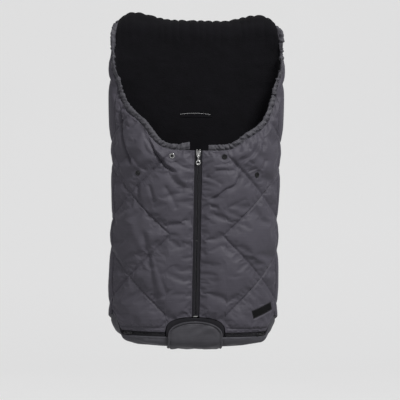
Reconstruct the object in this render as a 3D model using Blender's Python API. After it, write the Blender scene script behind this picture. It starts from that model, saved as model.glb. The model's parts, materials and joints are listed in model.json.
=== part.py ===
"""A padded stroller footmuff, hung by its hood over a round rail.

The frame is in metres with +Z up and the front of the bag facing -Y. The origin lies on the rail's axis,
under the middle of the hood's fold. The back panel hangs from the fold, its quilted face against the rail
and its fleece face to the front, and its tail hangs down behind. Two padded doors close the front with a
centre zip and a foot zip, and each swings on its side seam.

Run it with blender --background --python part.py, or from Blender's text editor.
"""

import math

import bmesh
import bpy
import numpy as np
from mathutils import Matrix, Vector
from mathutils.bvhtree import BVHTree

MM = 0.001

# Gaps between pieces that touch
SEAT_GAP = 0.3 * MM
CASING_GAP = 0.96 * MM

# Cloth, wadding and fleece
OUTER_CLOTH = 1.0 * MM
WADDING = 6.0 * MM
FLEECE = 2.4 * MM
TAPE_CLOTH = 0.8 * MM

# Rail fold of the hood
FOLD_RADIUS = 24.5 * MM
TAIL_LENGTH = 100 * MM

# Front doors, in plan: flat at the zip, then round to the side seam
BAG_FRONT_Y = -135 * MM
DOOR_FLAT_HALF = 50 * MM
SEAM_X = 168 * MM
SEAM_Y = -75 * MM
DOOR_ZIP_EDGE = 8 * MM
HINGE_STAND_OFF = 1.0 * MM
PIVOT_SIZE = 10 * MM

# Neckline of the doors
NECK_LOW_Z = -240 * MM
NECK_RISE = 118 * MM
NECK_POWER = 4
NECK_CASING_START = 20 * MM

# Foot end
DOOR_LENGTH = 372.5 * MM
FOOT_CORNER_RISE = 14 * MM
FOOT_CORNER_START = 157 * MM
GUSSET_DEPTH = 21 * MM
GUSSET_CENTRE_Y = -80 * MM
GUSSET_POWER = 3
GUSSET_WALL = 3 * MM
GUSSET_RING_SHARES = (0.0, 0.15, 0.35, 0.6, 0.85)
DOOR_NECK_ROW_SHARES = (0.25, 0.5, 0.75, 1.0)

# Diamond quilting: half of a diamond's width and height, and where two stitch lines cross
QUILT_HALF = 88 * MM
QUILT_RISE = 86 * MM
QUILT_GIRTH = 142.5 * MM
QUILT_Z = -330 * MM
QUILT_CELLS = 4
QUILT_CROWN = 5 * MM
QUILT_SOFT_SHARE = 0.5
WADDING_CROWN_SHARE = 0.85
EDGE_FADE = 20 * MM

# Back panel: flat middle, then sides that curl forward. A curl's points are shares of the seam's distance
# from the middle: half of the flat, the first and second control point as (x, rise), and the edge.
BACK_FLAT_HALF = 115 * MM
BACK_CURL_REACH = 50 * MM
TAIL_END_SHARES = ((0.298, 0.0), (0.476, 0.0), (0.714, 0.048), (0.821, 0.024))
TAIL_TOP_SHARES = ((0.268, 0.0), (0.506, 0.0), (0.786, 0.119), (0.899, 0.024))
FOLD_TOP_SHARES = ((0.268, 0.0), (0.536, 0.0), (0.839, 0.167), (0.952, 0.030))
HOOD_TOP_SHARES = ((0.506, 0.0), (0.744, 0.0), (0.917, 0.054), (0.994, 0.107))
HOOD_LOW_SHARES = ((0.625, 0.0), (0.833, 0.0), (0.982, 0.083), (1.018, 0.202))
HOOD_LOW_DROP = 60 * MM
SEAM_TOP_FULLNESS = 50 * MM
WAIST_DROP = 350 * MM
WAIST_FULLNESS = 14 * MM
CALF_DROP = 560 * MM
CALF_FULLNESS = 26 * MM
FOOT_FULLNESS = 12 * MM
BAG_ROW_SHARES = (0.935, 0.855, 0.774, 0.597, 0.5, 0.411, 0.331)
HOOD_ROW_SHARES = (1.0, 0.754, 0.492, 0.246, 0.0)
FOLD_ROWS = 6
TAIL_ROWS = 3
CURL_COLUMNS = 5
EDGE_SHARE = 2.0

# Gathered casing and the elastic in it
CASING_HALF_WIDTH = 7 * MM
CASING_HALF_THICK = 3.6 * MM
CASING_BORE_HALF_WIDTH = 4.5 * MM
CASING_BORE_HALF_THICK = 1.3 * MM
CASING_SIDES = 8
CASING_GATHER_SHARE = 0.84
ELASTIC_HALF_WIDTH = 3.0 * MM
ELASTIC_HALF_THICK = 0.65 * MM
FINITE_STEP = 0.1 * MM
FINITE_SHARE = 1e-4

# Coil zip
COIL_HALF_WIDTH = 3.2 * MM
COIL_HALF_THICK = 1.1 * MM
COIL_WEB_HALF_WIDTH = 4.3 * MM
COIL_WEB_HALF_THICK = 0.4 * MM
COIL_MEET_GAP = 0.15 * MM
TAPE_REACH = 19 * MM
ZIP_DEPTH = 1.8 * MM
ZIP_STOP_HEIGHT = 2.6 * MM
ZIP_STOP_HALF_THICK = 1.4 * MM
FOOT_ZIP_DROP = 7.5 * MM
FOOT_ZIP_CLEARANCE = 0.5 * MM
FOOT_TAPE_HIDDEN = 10 * MM
FOOT_TAPE_LOWER = 2.9 * MM
FOOT_ZIP_STEPS = 14

# Slider and pull
SLIDER_LENGTH = 10.5 * MM
SLIDER_TOP_HALF = 4.25 * MM
SLIDER_FOOT_HALF = 3.95 * MM
SLIDER_CHANNEL_HALF = 1.35 * MM
SLIDER_PLATE = 1.0 * MM
SLIDER_LIP_HALF_GAP = 0.65 * MM
SLIDER_LIP_INNER = 3.55 * MM
SLIDER_WEDGE_HALF = 1.4 * MM
SLIDER_WEDGE_LENGTH = 3.6 * MM
LUG_HALF_WIDTH = 0.9 * MM
LUG_LENGTH = 6.4 * MM
LUG_WALL = 1.0 * MM
LUG_WINDOW = 1.5 * MM
LUG_OFFSET = 1.0 * MM
PULL_LENGTH = 27 * MM
PULL_HALF_WIDTH = 2.7 * MM
PULL_THICK = 1.0 * MM
PULL_BAR = 1.0 * MM
PULL_EYE_LENGTH = 6.0 * MM
PULL_EYE_HALF = 1.5 * MM
PULL_END_HOLE = 1.3 * MM
PULL_END_INSET = 3.6 * MM
PULL_NECK_SHARE = 0.8
PULL_SIDES = 8
FOOT_PULL_LENGTH = 20 * MM
SLIDER_BELOW_NECK = 5.6 * MM
FOOT_SLIDER_PARK_SHARE = 0.93

# Press studs
STUD_RADIUS = 5.75 * MM
STUD_HEIGHT = 2.0 * MM
STUD_SIDES = 16
STUD_PROBES = 12
STUD_PROFILE_SHARES = (
    (0.0, 0.55),
    (0.3, 0.55),
    (0.42, 0.35),
    (0.6, 0.35),
    (0.7, 1.0),
    (0.9, 0.95),
    (1.0, 0.5),
    (0.92, 0.0),
    (0.0, 0.0),
)
UPPER_STUD_X = 54 * MM
UPPER_STUD_Z = -252 * MM
LOWER_STUD_X = 123 * MM
LOWER_STUD_Z = -288 * MM

# Harness slots in the back panel
SLOT_HALF_WIDTH = 33 * MM
SLOT_HALF_HEIGHT = 6 * MM
SHOULDER_SLOT_Z = -162 * MM
CROTCH_SLOT_Z = -432 * MM
SLOT_BINDING_WALL = 2.2 * MM
SLOT_BINDING_PROUD = 0.6 * MM

# Tongue and flap at the foot
ARCH_HALF_WIDTH = 62 * MM
ARCH_RISE = 28.5 * MM
ARCH_POWER = 2.6
TONGUE_MARGIN = 1.5 * MM
TONGUE_THICK = 6 * MM
FLAP_MARGIN = 5.5 * MM
FLAP_TOP_MARGIN = 8 * MM
FLAP_STAND_OFF = 3.2 * MM
FLAP_LINING = 0.8 * MM
FLAP_OUTER = 1.6 * MM
FLAP_WRAP_SHARE = 0.86
FLAP_TOP_SHARE = 0.45
FLAP_ROW_SHARES = (0.0, 0.1, 0.25, 0.5, 0.75, 1.0)
FLAP_WRAP_ROW_SHARES = (0.25, 0.5, 0.75, 1.0)
FLAP_COLUMN_SHARES = (-1.0, -0.6, 0.0, 0.6, 1.0)
PATCH_HALF_WIDTH = 25 * MM
PATCH_HEIGHT = 13 * MM
PATCH_THICK = 1.1 * MM
PATCH_DROP = 19 * MM

# Sewn label
LABEL_X = 140 * MM
LABEL_RISE = 41.5 * MM
LABEL_WIDTH = 55 * MM
LABEL_HEIGHT = 16 * MM
LABEL_THICK = 0.8 * MM
LABEL_TILT = math.radians(18)
LABEL_CELLS = 6

DOOR_FOOT_Z = NECK_LOW_Z - DOOR_LENGTH
BACK_FOOT_Z = DOOR_FOOT_Z - FOOT_ZIP_DROP
LABEL_Z = DOOR_FOOT_Z + LABEL_RISE
BODY_THICK = OUTER_CLOTH + WADDING + FLEECE + 2 * SEAT_GAP
DOOR_ROUND_X = SEAM_X - DOOR_FLAT_HALF
DOOR_ROUND_Y = SEAM_Y - BAG_FRONT_Y
DOOR_RADIUS = (DOOR_ROUND_X**2 + DOOR_ROUND_Y**2) / (2 * DOOR_ROUND_Y)
DOOR_ARC_Y = BAG_FRONT_Y + DOOR_RADIUS
SEAM_ANGLE = math.asin(DOOR_ROUND_X / DOOR_RADIUS)
SEAM_GIRTH = DOOR_FLAT_HALF + DOOR_RADIUS * SEAM_ANGLE
PADDING_EDGE = TAPE_REACH + 2 * SEAT_GAP
SEAM_TOP_Z = NECK_LOW_Z + NECK_RISE
SEAM_DEPTH = -FOLD_RADIUS - SEAM_Y
FOLD_LENGTH = math.pi * FOLD_RADIUS
FOOT_ZIP_Z = DOOR_FOOT_Z - FOOT_ZIP_DROP
FOOT_RIM_Z = FOOT_ZIP_Z - COIL_WEB_HALF_WIDTH - SEAT_GAP - FOOT_TAPE_LOWER - SEAT_GAP
FOOT_ZIP_START = ARCH_HALF_WIDTH + FOOT_ZIP_CLEARANCE
FOOT_ZIP_END = FOOT_CORNER_START - SEAT_GAP
FOOT_SLIDER_GIRTH = FOOT_ZIP_START + (FOOT_ZIP_END - FOOT_ZIP_START) * FOOT_SLIDER_PARK_SHARE
FOOT_COIL_END = FOOT_SLIDER_GIRTH + SLIDER_LENGTH / 2 - SLIDER_WEDGE_LENGTH - 2 * SEAT_GAP
ZIP_TOP_Z = NECK_LOW_Z
ZIP_FOOT_Z = DOOR_FOOT_Z + ARCH_RISE + ZIP_STOP_HEIGHT
SLIDER_Z = ZIP_TOP_Z - SLIDER_BELOW_NECK
ZIP_Y = BAG_FRONT_Y + ZIP_DEPTH

MATERIALS = {
    "shell_fabric": ((0.085, 0.080, 0.097), 0.75, 0.0),
    "casing_fabric": ((0.068, 0.066, 0.072), 0.8, 0.0),
    "flap_fabric": ((0.058, 0.057, 0.066), 0.8, 0.0),
    "fleece": ((0.006, 0.006, 0.007), 0.95, 0.0),
    "wadding": ((0.75, 0.75, 0.73), 0.95, 0.0),
    "tape": ((0.016, 0.015, 0.019), 0.8, 0.0),
    "coil": ((0.020, 0.019, 0.023), 0.5, 0.0),
    "elastic": ((0.60, 0.60, 0.58), 0.8, 0.0),
    "nickel": ((0.62, 0.61, 0.59), 0.28, 1.0),
    "black_metal": ((0.03, 0.03, 0.033), 0.4, 1.0),
    "label": ((0.008, 0.008, 0.009), 0.85, 0.0),
    "hook_loop": ((0.012, 0.012, 0.013), 0.9, 0.0),
}


def clear_scene():
    """Remove every object of the open scene."""
    for thing in list(bpy.data.objects):
        bpy.data.objects.remove(thing, do_unlink=True)


def material(name):
    """Return the named material, made at its first use."""
    found = bpy.data.materials.get(name)
    if found:
        return found
    colour, roughness, metallic = MATERIALS[name]
    made = bpy.data.materials.new(name)
    made.use_nodes = True
    shader = made.node_tree.nodes["Principled BSDF"]
    shader.inputs["Base Color"].default_value = (*colour, 1.0)
    shader.inputs["Roughness"].default_value = roughness
    shader.inputs["Metallic"].default_value = metallic
    return made


def mesh_object(name, points, faces, finish, origin=(0, 0, 0)):
    """Make a named object from world points and faces, with its origin at a world point."""
    mesh = bpy.data.meshes.new(name)
    base = Vector(origin)
    mesh.from_pydata([Vector(p) - base for p in points], [], faces)
    shape = bmesh.new()
    shape.from_mesh(mesh)
    bmesh.ops.recalc_face_normals(shape, faces=shape.faces)
    shape.to_mesh(mesh)
    shape.free()
    mesh.materials.append(material(finish))
    thing = bpy.data.objects.new(name, mesh)
    thing.location = base
    bpy.context.scene.collection.objects.link(thing)
    return thing


def smooth(share):
    """Ease from 0 to 1 with level ends."""
    t = min(1.0, max(0.0, share))
    return t * t * (3 - 2 * t)


def blend(low, high, share):
    """Return the value at a share of the way from low to high."""
    return low + (high - low) * share


def slab(name, outer, inner, finish, slanted=None, missing=frozenset(), origin=(0, 0, 0)):
    """Make a closed slab between two grids of points, leaving out the cells in missing.

    slanted(row, column) says whether a cell is cut from its second corner to its fourth.
    """
    rows, columns = outer.shape[:2]
    points = list(outer.reshape(-1, 3)) + list(inner.reshape(-1, 3))
    below = rows * columns

    def index(row, column):
        return row * columns + column

    def present(row, column):
        inside = 0 <= row < rows - 1 and 0 <= column < columns - 1
        return inside and (row, column) not in missing

    faces = []
    for row in range(rows - 1):
        for column in range(columns - 1):
            if not present(row, column):
                continue
            a = index(row, column)
            b = index(row, column + 1)
            c = index(row + 1, column + 1)
            d = index(row + 1, column)
            other_way = slanted is not None and slanted(row, column)
            cut = ((a, b, d), (b, c, d)) if other_way else ((a, b, c), (a, c, d))
            for face in cut:
                faces.append(face)
                faces.append(tuple(below + corner for corner in reversed(face)))
            rims = (
                (row - 1, column, b, a),
                (row, column + 1, c, b),
                (row + 1, column, d, c),
                (row, column - 1, a, d),
            )
            for next_row, next_column, start, end in rims:
                if not present(next_row, next_column):
                    faces.append((start, end, below + end))
                    faces.append((start, below + end, below + start))
    used = sorted({corner for face in faces for corner in face})
    renumber = {corner: place for place, corner in enumerate(used)}
    kept = [points[corner] for corner in used]
    return mesh_object(name, kept, [tuple(renumber[c] for c in f) for f in faces], finish, origin)


def prism(name, outline, low, high, finish, place, origin=(0, 0, 0)):
    """Extrude an outline of (a, b) points from low to high, where place(a, b, c) gives the world point."""
    count = len(outline)
    points = [place(a, b, low) for a, b in outline] + [place(a, b, high) for a, b in outline]
    faces = [tuple(range(count)), tuple(reversed(range(count, 2 * count)))]
    for corner in range(count):
        after = (corner + 1) % count
        faces.append((corner, after, count + after, count + corner))
    return mesh_object(name, points, faces, finish, origin)


def sweep(name, rings, finish, bores=None):
    """Join rings of points into a closed bar, or into a tube where bores gives inner rings."""
    sides = len(rings[0])
    rings_count = len(rings)
    points = [p for ring in rings for p in ring]
    faces = []

    def skin(offset, count):
        for ring in range(count - 1):
            for side in range(sides):
                after = (side + 1) % sides
                a = offset + ring * sides + side
                b = offset + ring * sides + after
                faces.append((a, b, b + sides))
                faces.append((a, b + sides, a + sides))

    skin(0, rings_count)
    last = (rings_count - 1) * sides
    if bores is None:
        faces.append(tuple(range(sides)))
        faces.append(tuple(range(last, last + sides)))
    else:
        inner = len(points)
        points += [p for ring in bores for p in ring]
        skin(inner, rings_count)
        for first in (0, last):
            for side in range(sides):
                after = (side + 1) % sides
                faces.append((first + side, first + after, inner + first + after, inner + first + side))
    return mesh_object(name, points, faces, finish)


def union(target, parts):
    """Join overlapping solids into the target with exact Boolean unions, then drop them."""
    for part in parts:
        cut_or_join(target, part, "UNION")


def cut_or_join(target, tool, operation):
    """Apply one exact Boolean to the target and remove the tool."""
    boolean = target.modifiers.new("boolean", "BOOLEAN")
    boolean.operation = operation
    boolean.solver = "EXACT"
    boolean.object = tool
    bpy.context.view_layer.update()
    evaluated = target.evaluated_get(bpy.context.evaluated_depsgraph_get())
    mesh = bpy.data.meshes.new_from_object(evaluated)
    target.modifiers.clear()
    target.data = mesh
    bpy.data.objects.remove(tool, do_unlink=True)


# Shape of the doors


def door_plan(girth):
    """Return a door's outer face in plan, and its outward normal, at a girth from the zip."""
    if girth <= DOOR_FLAT_HALF:
        return Vector((girth, BAG_FRONT_Y, 0)), Vector((0, -1, 0))
    angle = (girth - DOOR_FLAT_HALF) / DOOR_RADIUS
    out = Vector((math.sin(angle), -math.cos(angle), 0))
    return Vector((DOOR_FLAT_HALF, DOOR_ARC_Y, 0)) + out * DOOR_RADIUS, out


def girth_at(x):
    """Return the girth from the zip at a distance x from the centre."""
    if x <= DOOR_FLAT_HALF:
        return x
    return DOOR_FLAT_HALF + DOOR_RADIUS * math.asin((x - DOOR_FLAT_HALF) / DOOR_RADIUS)


def neck_edge(girth):
    """Return the height of a door's top edge."""
    x = door_plan(girth)[0].x
    return NECK_LOW_Z + NECK_RISE * (x / SEAM_X) ** NECK_POWER


def arch_height(x, half_width, rise):
    """Return the height of the round-cornered arch over the tongue at a distance x from its middle."""
    share = min(1.0, abs(x) / half_width)
    return rise * (1 - share**ARCH_POWER) ** (1 / ARCH_POWER)


def foot_edge(girth):
    """Return the height of a door's bottom edge."""
    if girth < ARCH_HALF_WIDTH:
        return DOOR_FOOT_Z + arch_height(girth, ARCH_HALF_WIDTH, ARCH_RISE)
    corner = smooth((girth - FOOT_CORNER_START) / (SEAM_GIRTH - FOOT_CORNER_START))
    return DOOR_FOOT_Z + FOOT_CORNER_RISE * corner


def quilt_crown(girth, z):
    """Return how far the quilted face stands out between its stitch lines."""
    across = (girth - QUILT_GIRTH) / QUILT_HALF
    up = (z - QUILT_Z) / QUILT_RISE
    falling = abs((across - up + 1) % 2 - 1)
    rising = abs((across + up + 1) % 2 - 1)
    loft = 1 - (1 - min(1.0, min(falling, rising) / QUILT_SOFT_SHARE)) ** 2
    edges = (
        girth - DOOR_ZIP_EDGE,
        SEAM_GIRTH - girth,
        z - foot_edge(girth),
        neck_edge(girth) - z,
    )
    fade = smooth(max(0.0, min(edges)) / EDGE_FADE)
    return QUILT_CROWN * loft * fade


def fabric_crown(girth, z):
    """Return the crown of the outer fabric's faceted face at a height on one of its grid lines."""
    heights = door_heights(girth, 0.0)
    return float(np.interp(z, heights, [quilt_crown(girth, height) for height in heights]))


def wadding_crown(girth, z, hem):
    """Return the crown of the wadding, which fades to nothing at its hem, on one of its grid lines."""
    fade = smooth((z - hem - foot_edge(girth)) / (2 * EDGE_FADE))
    return WADDING_CROWN_SHARE * fade * fabric_crown(girth, z)


def door_columns():
    """Return the girths of a door's grid lines, which follow the quilting."""
    cell = QUILT_HALF / QUILT_CELLS
    first = math.ceil((DOOR_ZIP_EDGE + cell / 2 - QUILT_GIRTH) / cell)
    last = math.floor((SEAM_GIRTH - cell / 2 - QUILT_GIRTH) / cell)
    lines = [QUILT_GIRTH + step * cell for step in range(first, last + 1)]
    lines = [line for line in lines if line < FOOT_CORNER_START - cell / 4]
    edges = [DOOR_ZIP_EDGE, PADDING_EDGE, ARCH_HALF_WIDTH, FOOT_CORNER_START, SEAM_GIRTH - SEAT_GAP]
    return sorted(edges + lines)


def door_heights(girth, foot_margin):
    """Return the heights of the grid lines at one girth, from the foot to the neckline."""
    cell = QUILT_RISE / QUILT_CELLS
    low = math.ceil((DOOR_FOOT_Z + ARCH_RISE + cell / 2 - QUILT_Z) / cell)
    high = math.floor((NECK_LOW_Z - cell / 2 - QUILT_Z) / cell)
    middle = [QUILT_Z + step * cell for step in range(low, high + 1)]
    foot = foot_edge(girth) + foot_margin
    top = neck_edge(girth)
    below = [foot, blend(foot, middle[0], 0.5)]
    above = [blend(middle[-1], top, share) for share in DOOR_NECK_ROW_SHARES]
    return below + middle + above


def door_grid(side, columns, depth_at, foot_margin=0.0):
    """Return a door's grid of points at the depth that depth_at(girth, z) gives below its outer face."""
    grid = []
    for girth in columns:
        plan, out = door_plan(girth)
        line = []
        for z in door_heights(girth, foot_margin):
            p = plan - out * depth_at(girth, z)
            line.append((side * p.x, p.y, z))
        grid.append(line)
    return np.array(grid).transpose(1, 0, 2)


def door_slanted(columns):
    """Return the rule that cuts each cell of a door along its stitch lines."""
    cell = QUILT_HALF / QUILT_CELLS

    def slanted(row, column):
        girth = (columns[column] + columns[column + 1]) / 2
        heights = door_heights(girth, 0.0)
        z = (heights[row] + heights[row + 1]) / 2
        across = math.floor((girth - QUILT_GIRTH) / cell)
        up = math.floor((z - QUILT_Z) / (QUILT_RISE / QUILT_CELLS))
        return (across + up + 1) % (2 * QUILT_CELLS) == 0

    return slanted


def build_door(side, name):
    """Build one door's three layers, each offset from the same outer face."""
    columns = door_columns()
    inner_columns = columns[1:]
    inner_rule = door_slanted(inner_columns)
    hem = COIL_WEB_HALF_WIDTH - FOOT_ZIP_DROP + SEAT_GAP + FOOT_TAPE_HIDDEN + 2 * SEAT_GAP
    wadding_top = OUTER_CLOTH + SEAT_GAP
    fleece_top = wadding_top + WADDING + SEAT_GAP
    outer = slab(
        f"{name}_outer_fabric",
        door_grid(side, columns, lambda s, z: -quilt_crown(s, z)),
        door_grid(side, columns, lambda s, z: OUTER_CLOTH - quilt_crown(s, z)),
        "shell_fabric",
        door_slanted(columns),
    )
    slab(
        f"{name}_wadding",
        door_grid(side, inner_columns, lambda s, z: wadding_top - wadding_crown(s, z, hem), hem),
        door_grid(side, inner_columns, lambda s, z: wadding_top + WADDING, hem),
        "wadding",
        inner_rule,
    )
    slab(
        f"{name}_fleece_lining",
        door_grid(side, inner_columns, lambda s, z: fleece_top, hem),
        door_grid(side, inner_columns, lambda s, z: fleece_top + FLEECE, hem),
        "fleece",
        inner_rule,
    )
    return outer


# Shape of the back panel


def hood_station(shares):
    """Return the control points (x, rise off the flat) of one of the hood's cross-sections."""
    return SEAM_X * np.array(shares)


def bag_station(fullness):
    """Return the cross-section of the bag, whose sides end square to the doors at the side seam."""
    seam = np.array((SEAM_X, SEAM_DEPTH))
    lead = np.array((math.cos(SEAM_ANGLE), -math.sin(SEAM_ANGLE)))
    flat = (BACK_FLAT_HALF, 0.0)
    return np.array([flat, (BACK_FLAT_HALF + BACK_CURL_REACH, 0.0), seam + fullness * lead, seam])


# Path positions run down the front from the rail's height; the fold and the tail are negative
BACK_STATIONS = (
    (-FOLD_LENGTH - TAIL_LENGTH, hood_station(TAIL_END_SHARES)),
    (-FOLD_LENGTH, hood_station(TAIL_TOP_SHARES)),
    (-FOLD_LENGTH / 2, hood_station(FOLD_TOP_SHARES)),
    (0.0, hood_station(HOOD_TOP_SHARES)),
    (HOOD_LOW_DROP, hood_station(HOOD_LOW_SHARES)),
    (-SEAM_TOP_Z, bag_station(SEAM_TOP_FULLNESS)),
    (WAIST_DROP, bag_station(WAIST_FULLNESS)),
    (CALF_DROP, bag_station(CALF_FULLNESS)),
    (-BACK_FOOT_Z, bag_station(FOOT_FULLNESS)),
)


def back_section(path):
    """Return the cross-section's control points at a path position."""
    for (start, low), (end, high) in zip(BACK_STATIONS, BACK_STATIONS[1:]):
        if path <= end:
            return blend(low, high, smooth((path - start) / (end - start)))
    return BACK_STATIONS[-1][1]


def back_spine(path):
    """Return the middle of the panel's quilted face at a path position, and its normal to the fleece side."""
    if path >= 0:
        return Vector((0, -FOLD_RADIUS, -path)), Vector((0, -1, 0))
    if path >= -FOLD_LENGTH:
        angle = -path / FOLD_RADIUS
        out = Vector((0, -math.cos(angle), math.sin(angle)))
        return out * FOLD_RADIUS, out
    return Vector((0, FOLD_RADIUS, path + FOLD_LENGTH)), Vector((0, 1, 0))


def back_point(across, path):
    """Return a point of the quilted face; across runs to 1 over the flat and to 2 round the curl."""
    control = back_section(path)
    if across <= 1:
        x, rise = control[0][0] * across, 0.0
    else:
        t = across - 1
        weights = ((1 - t) ** 3, 3 * (1 - t) ** 2 * t, 3 * (1 - t) * t * t, t**3)
        x, rise = sum(weight * point for weight, point in zip(weights, control))
    spine, out = back_spine(path)
    return spine + out * rise + Vector((x, 0, 0))


def back_frame(across, path):
    """Return a point of the quilted face, its normal to the fleece side and its direction down the edge."""
    here = back_point(across, path)
    low, high = max(0.0, across - FINITE_SHARE), min(EDGE_SHARE, across + FINITE_SHARE)
    side = back_point(high, path) - back_point(low, path)
    down = back_point(across, path + FINITE_STEP) - back_point(across, path - FINITE_STEP)
    normal = down.cross(side).normalized()
    if normal.dot(back_spine(path)[1]) < 0 and across < 1.5:
        normal.negate()
    return here, normal, down.normalized()


def back_rows():
    """Return the path positions of the back panel's rows, from the foot to the end of the tail."""
    halves = (SLOT_HALF_HEIGHT, -SLOT_HALF_HEIGHT)
    slots = [slot + half for slot in (-CROTCH_SLOT_Z, -SHOULDER_SLOT_Z) for half in halves]
    bag = [-BACK_FOOT_Z * share for share in BAG_ROW_SHARES]
    hood = [-SEAM_TOP_Z * share for share in HOOD_ROW_SHARES]
    fold = [-FOLD_LENGTH * row / FOLD_ROWS for row in range(1, FOLD_ROWS + 1)]
    tail = [-FOLD_LENGTH - TAIL_LENGTH * row / TAIL_ROWS for row in range(1, TAIL_ROWS + 1)]
    return [-BACK_FOOT_Z] + sorted(bag + slots + hood, reverse=True) + fold + tail


def back_foot_path(across):
    """Return where the panel ends at the foot, which rises towards the side seams."""
    return -BACK_FOOT_Z - (FOOT_CORNER_RISE - BACK_FOOT_Z + DOOR_FOOT_Z) * smooth(across - 1)


def back_columns(path):
    """Return the across values of one row's grid lines, from the left edge to the right."""
    flat = back_section(path)[0][0]
    slot = SLOT_HALF_WIDTH / flat
    half = [slot, (1 + slot) / 2, 1.0] + [1 + step / CURL_COLUMNS for step in range(1, CURL_COLUMNS + 1)]
    return [-a for a in reversed(half)] + [0.0] + half


def back_grid(depth):
    """Return the back panel's grid of points at a depth from its quilted face."""
    grid = []
    for row, path in enumerate(back_rows()):
        line = []
        for across in back_columns(path):
            side = -1 if across < 0 else 1
            here = min(path, back_foot_path(abs(across))) if row == 0 else path
            point, normal, _ = back_frame(abs(across), here)
            p = point + normal * depth
            line.append((side * p.x, p.y, p.z))
        grid.append(line)
    return np.array(grid)


def slot_cells():
    """Return the cells left out of the back panel for the two harness slots."""
    rows = back_rows()
    middle = len(back_columns(0.0)) // 2
    cells = set()
    for slot_z in (SHOULDER_SLOT_Z, CROTCH_SLOT_Z):
        row = rows.index(-slot_z + SLOT_HALF_HEIGHT)
        cells |= {(row, middle - 1), (row, middle)}
    return frozenset(cells)


def build_back():
    """Build the back panel's three layers with the slots cut through them."""
    missing = slot_cells()
    wadding_top = OUTER_CLOTH + SEAT_GAP
    fleece_top = wadding_top + WADDING + SEAT_GAP
    layers = (
        ("back_outer_fabric", 0.0, OUTER_CLOTH, "shell_fabric"),
        ("back_wadding", wadding_top, wadding_top + WADDING, "wadding"),
        ("back_fleece_lining", fleece_top, fleece_top + FLEECE, "fleece"),
    )
    for name, top, bottom, finish in layers:
        slab(name, back_grid(top), back_grid(bottom), finish, None, missing)


def build_slot_bindings():
    """Build the bound edge of each harness slot, a frame seated in the hole."""
    half_width = SLOT_HALF_WIDTH - SEAT_GAP
    half_height = SLOT_HALF_HEIGHT - SEAT_GAP
    for name, slot_z in (("shoulder_slot_binding", SHOULDER_SLOT_Z), ("crotch_slot_binding", CROTCH_SLOT_Z)):
        frames = []
        for inset in (0.0, SLOT_BINDING_WALL):
            wide, high = half_width - inset, half_height - inset
            frames.append([(-wide, -high), (wide, -high), (wide, high), (-wide, high)])
        back_y = -FOLD_RADIUS + SLOT_BINDING_PROUD
        front_y = -FOLD_RADIUS - BODY_THICK - SLOT_BINDING_PROUD
        rings = [[(x, y, slot_z + z) for x, z in frames[0]] for y in (back_y, front_y)]
        bores = [[(x, y, slot_z + z) for x, z in frames[1]] for y in (back_y, front_y)]
        sweep(name, rings, "casing_fabric", bores)


# Gathered casings


def oval(centre, wide, thick, half_width, half_thick, sides):
    """Return an oval ring of points about a centre."""
    ring = []
    for side in range(sides):
        angle = 2 * math.pi * side / sides
        ring.append(centre + wide * (half_width * math.cos(angle)) + thick * (half_thick * math.sin(angle)))
    return ring


def casing_rings(samples, half_width, half_thick, gathered, sides=CASING_SIDES):
    """Return the rings of a casing, bore or elastic along samples of (edge, outward, normal)."""
    rings = []
    for place, (edge, wide, normal) in enumerate(samples):
        centre = edge + wide * (CASING_GAP + CASING_HALF_WIDTH) + normal * (BODY_THICK / 2)
        gather = CASING_GATHER_SHARE if gathered and place % 2 else 1.0
        rings.append(oval(centre, wide, normal, half_width, half_thick * gather, sides))
    return rings


def mirrored(samples):
    """Return samples mirrored to the left side."""
    return [[Vector((-v.x, v.y, v.z)) for v in sample] for sample in samples]


def neck_edge_point(girth):
    """Return a point of a door's faceted top edge, on its outer face."""
    columns = door_columns()
    corners = [door_plan(line)[0] + Vector((0, 0, neck_edge(line))) for line in columns]
    places = np.array(corners).T
    return Vector([float(np.interp(girth, columns, place)) for place in places])


def neck_samples():
    """Return the right door's neckline samples, from the centre to the side seam."""
    columns = [NECK_CASING_START] + [line for line in door_columns() if line > NECK_CASING_START]
    girths = columns[:1]
    for low, high in zip(columns, columns[1:]):
        girths += [(low + high) / 2, high]
    samples = []
    for girth in girths:
        out = door_plan(girth)[1]
        before = door_plan(girth - FINITE_STEP)[0] + Vector((0, 0, neck_edge(girth - FINITE_STEP)))
        after = door_plan(girth + FINITE_STEP)[0] + Vector((0, 0, neck_edge(girth + FINITE_STEP)))
        wide = out.cross(after - before).normalized()
        if wide.z < 0:
            wide.negate()
        samples.append((neck_edge_point(girth), wide, -out))
    return samples


def hood_edge_sample(across, path, forward):
    """Return a sample on the panel's side edge, or on the tail's end where forward is False."""
    edge, normal, down = back_frame(across, path)
    if not forward:
        return edge, -down, normal
    wide = normal.cross(down).normalized()
    if wide.dot(edge - back_point(across - FINITE_SHARE, path)) < 0:
        wide.negate()
    return edge, wide, normal


def hood_samples():
    """Return the hood's edge samples, from the right side seam over the fold and along the tail's end."""
    seam_edge, seam_wide, seam_normal = neck_samples()[-1]
    samples = [(seam_edge + Vector((0, 0, 3 * SEAT_GAP)), seam_wide, seam_normal)]
    paths = [path for path in back_rows() if path < -SEAM_TOP_Z]
    front = [path for path in paths if path >= 0]
    corner = hood_edge_sample(EDGE_SHARE, -SEAM_TOP_Z, True)
    previous = corner
    for path in paths:
        sample = hood_edge_sample(EDGE_SHARE, path, True)
        if path in front:
            middle = [(a + b) / 2 for a, b in zip(previous, sample)]
            samples.append((middle[0], middle[1].normalized(), middle[2].normalized()))
        samples.append(sample)
        previous = sample
    end = paths[-1]
    edge, side, normal = samples[-1]
    hem = hood_edge_sample(EDGE_SHARE, end, False)[1]
    samples[-1] = (edge, side + hem, normal)
    columns = back_columns(end)
    for across in reversed(columns[len(columns) // 2 + 1 : -1]):
        samples.append(hood_edge_sample(across, end, False))
    return samples


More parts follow.
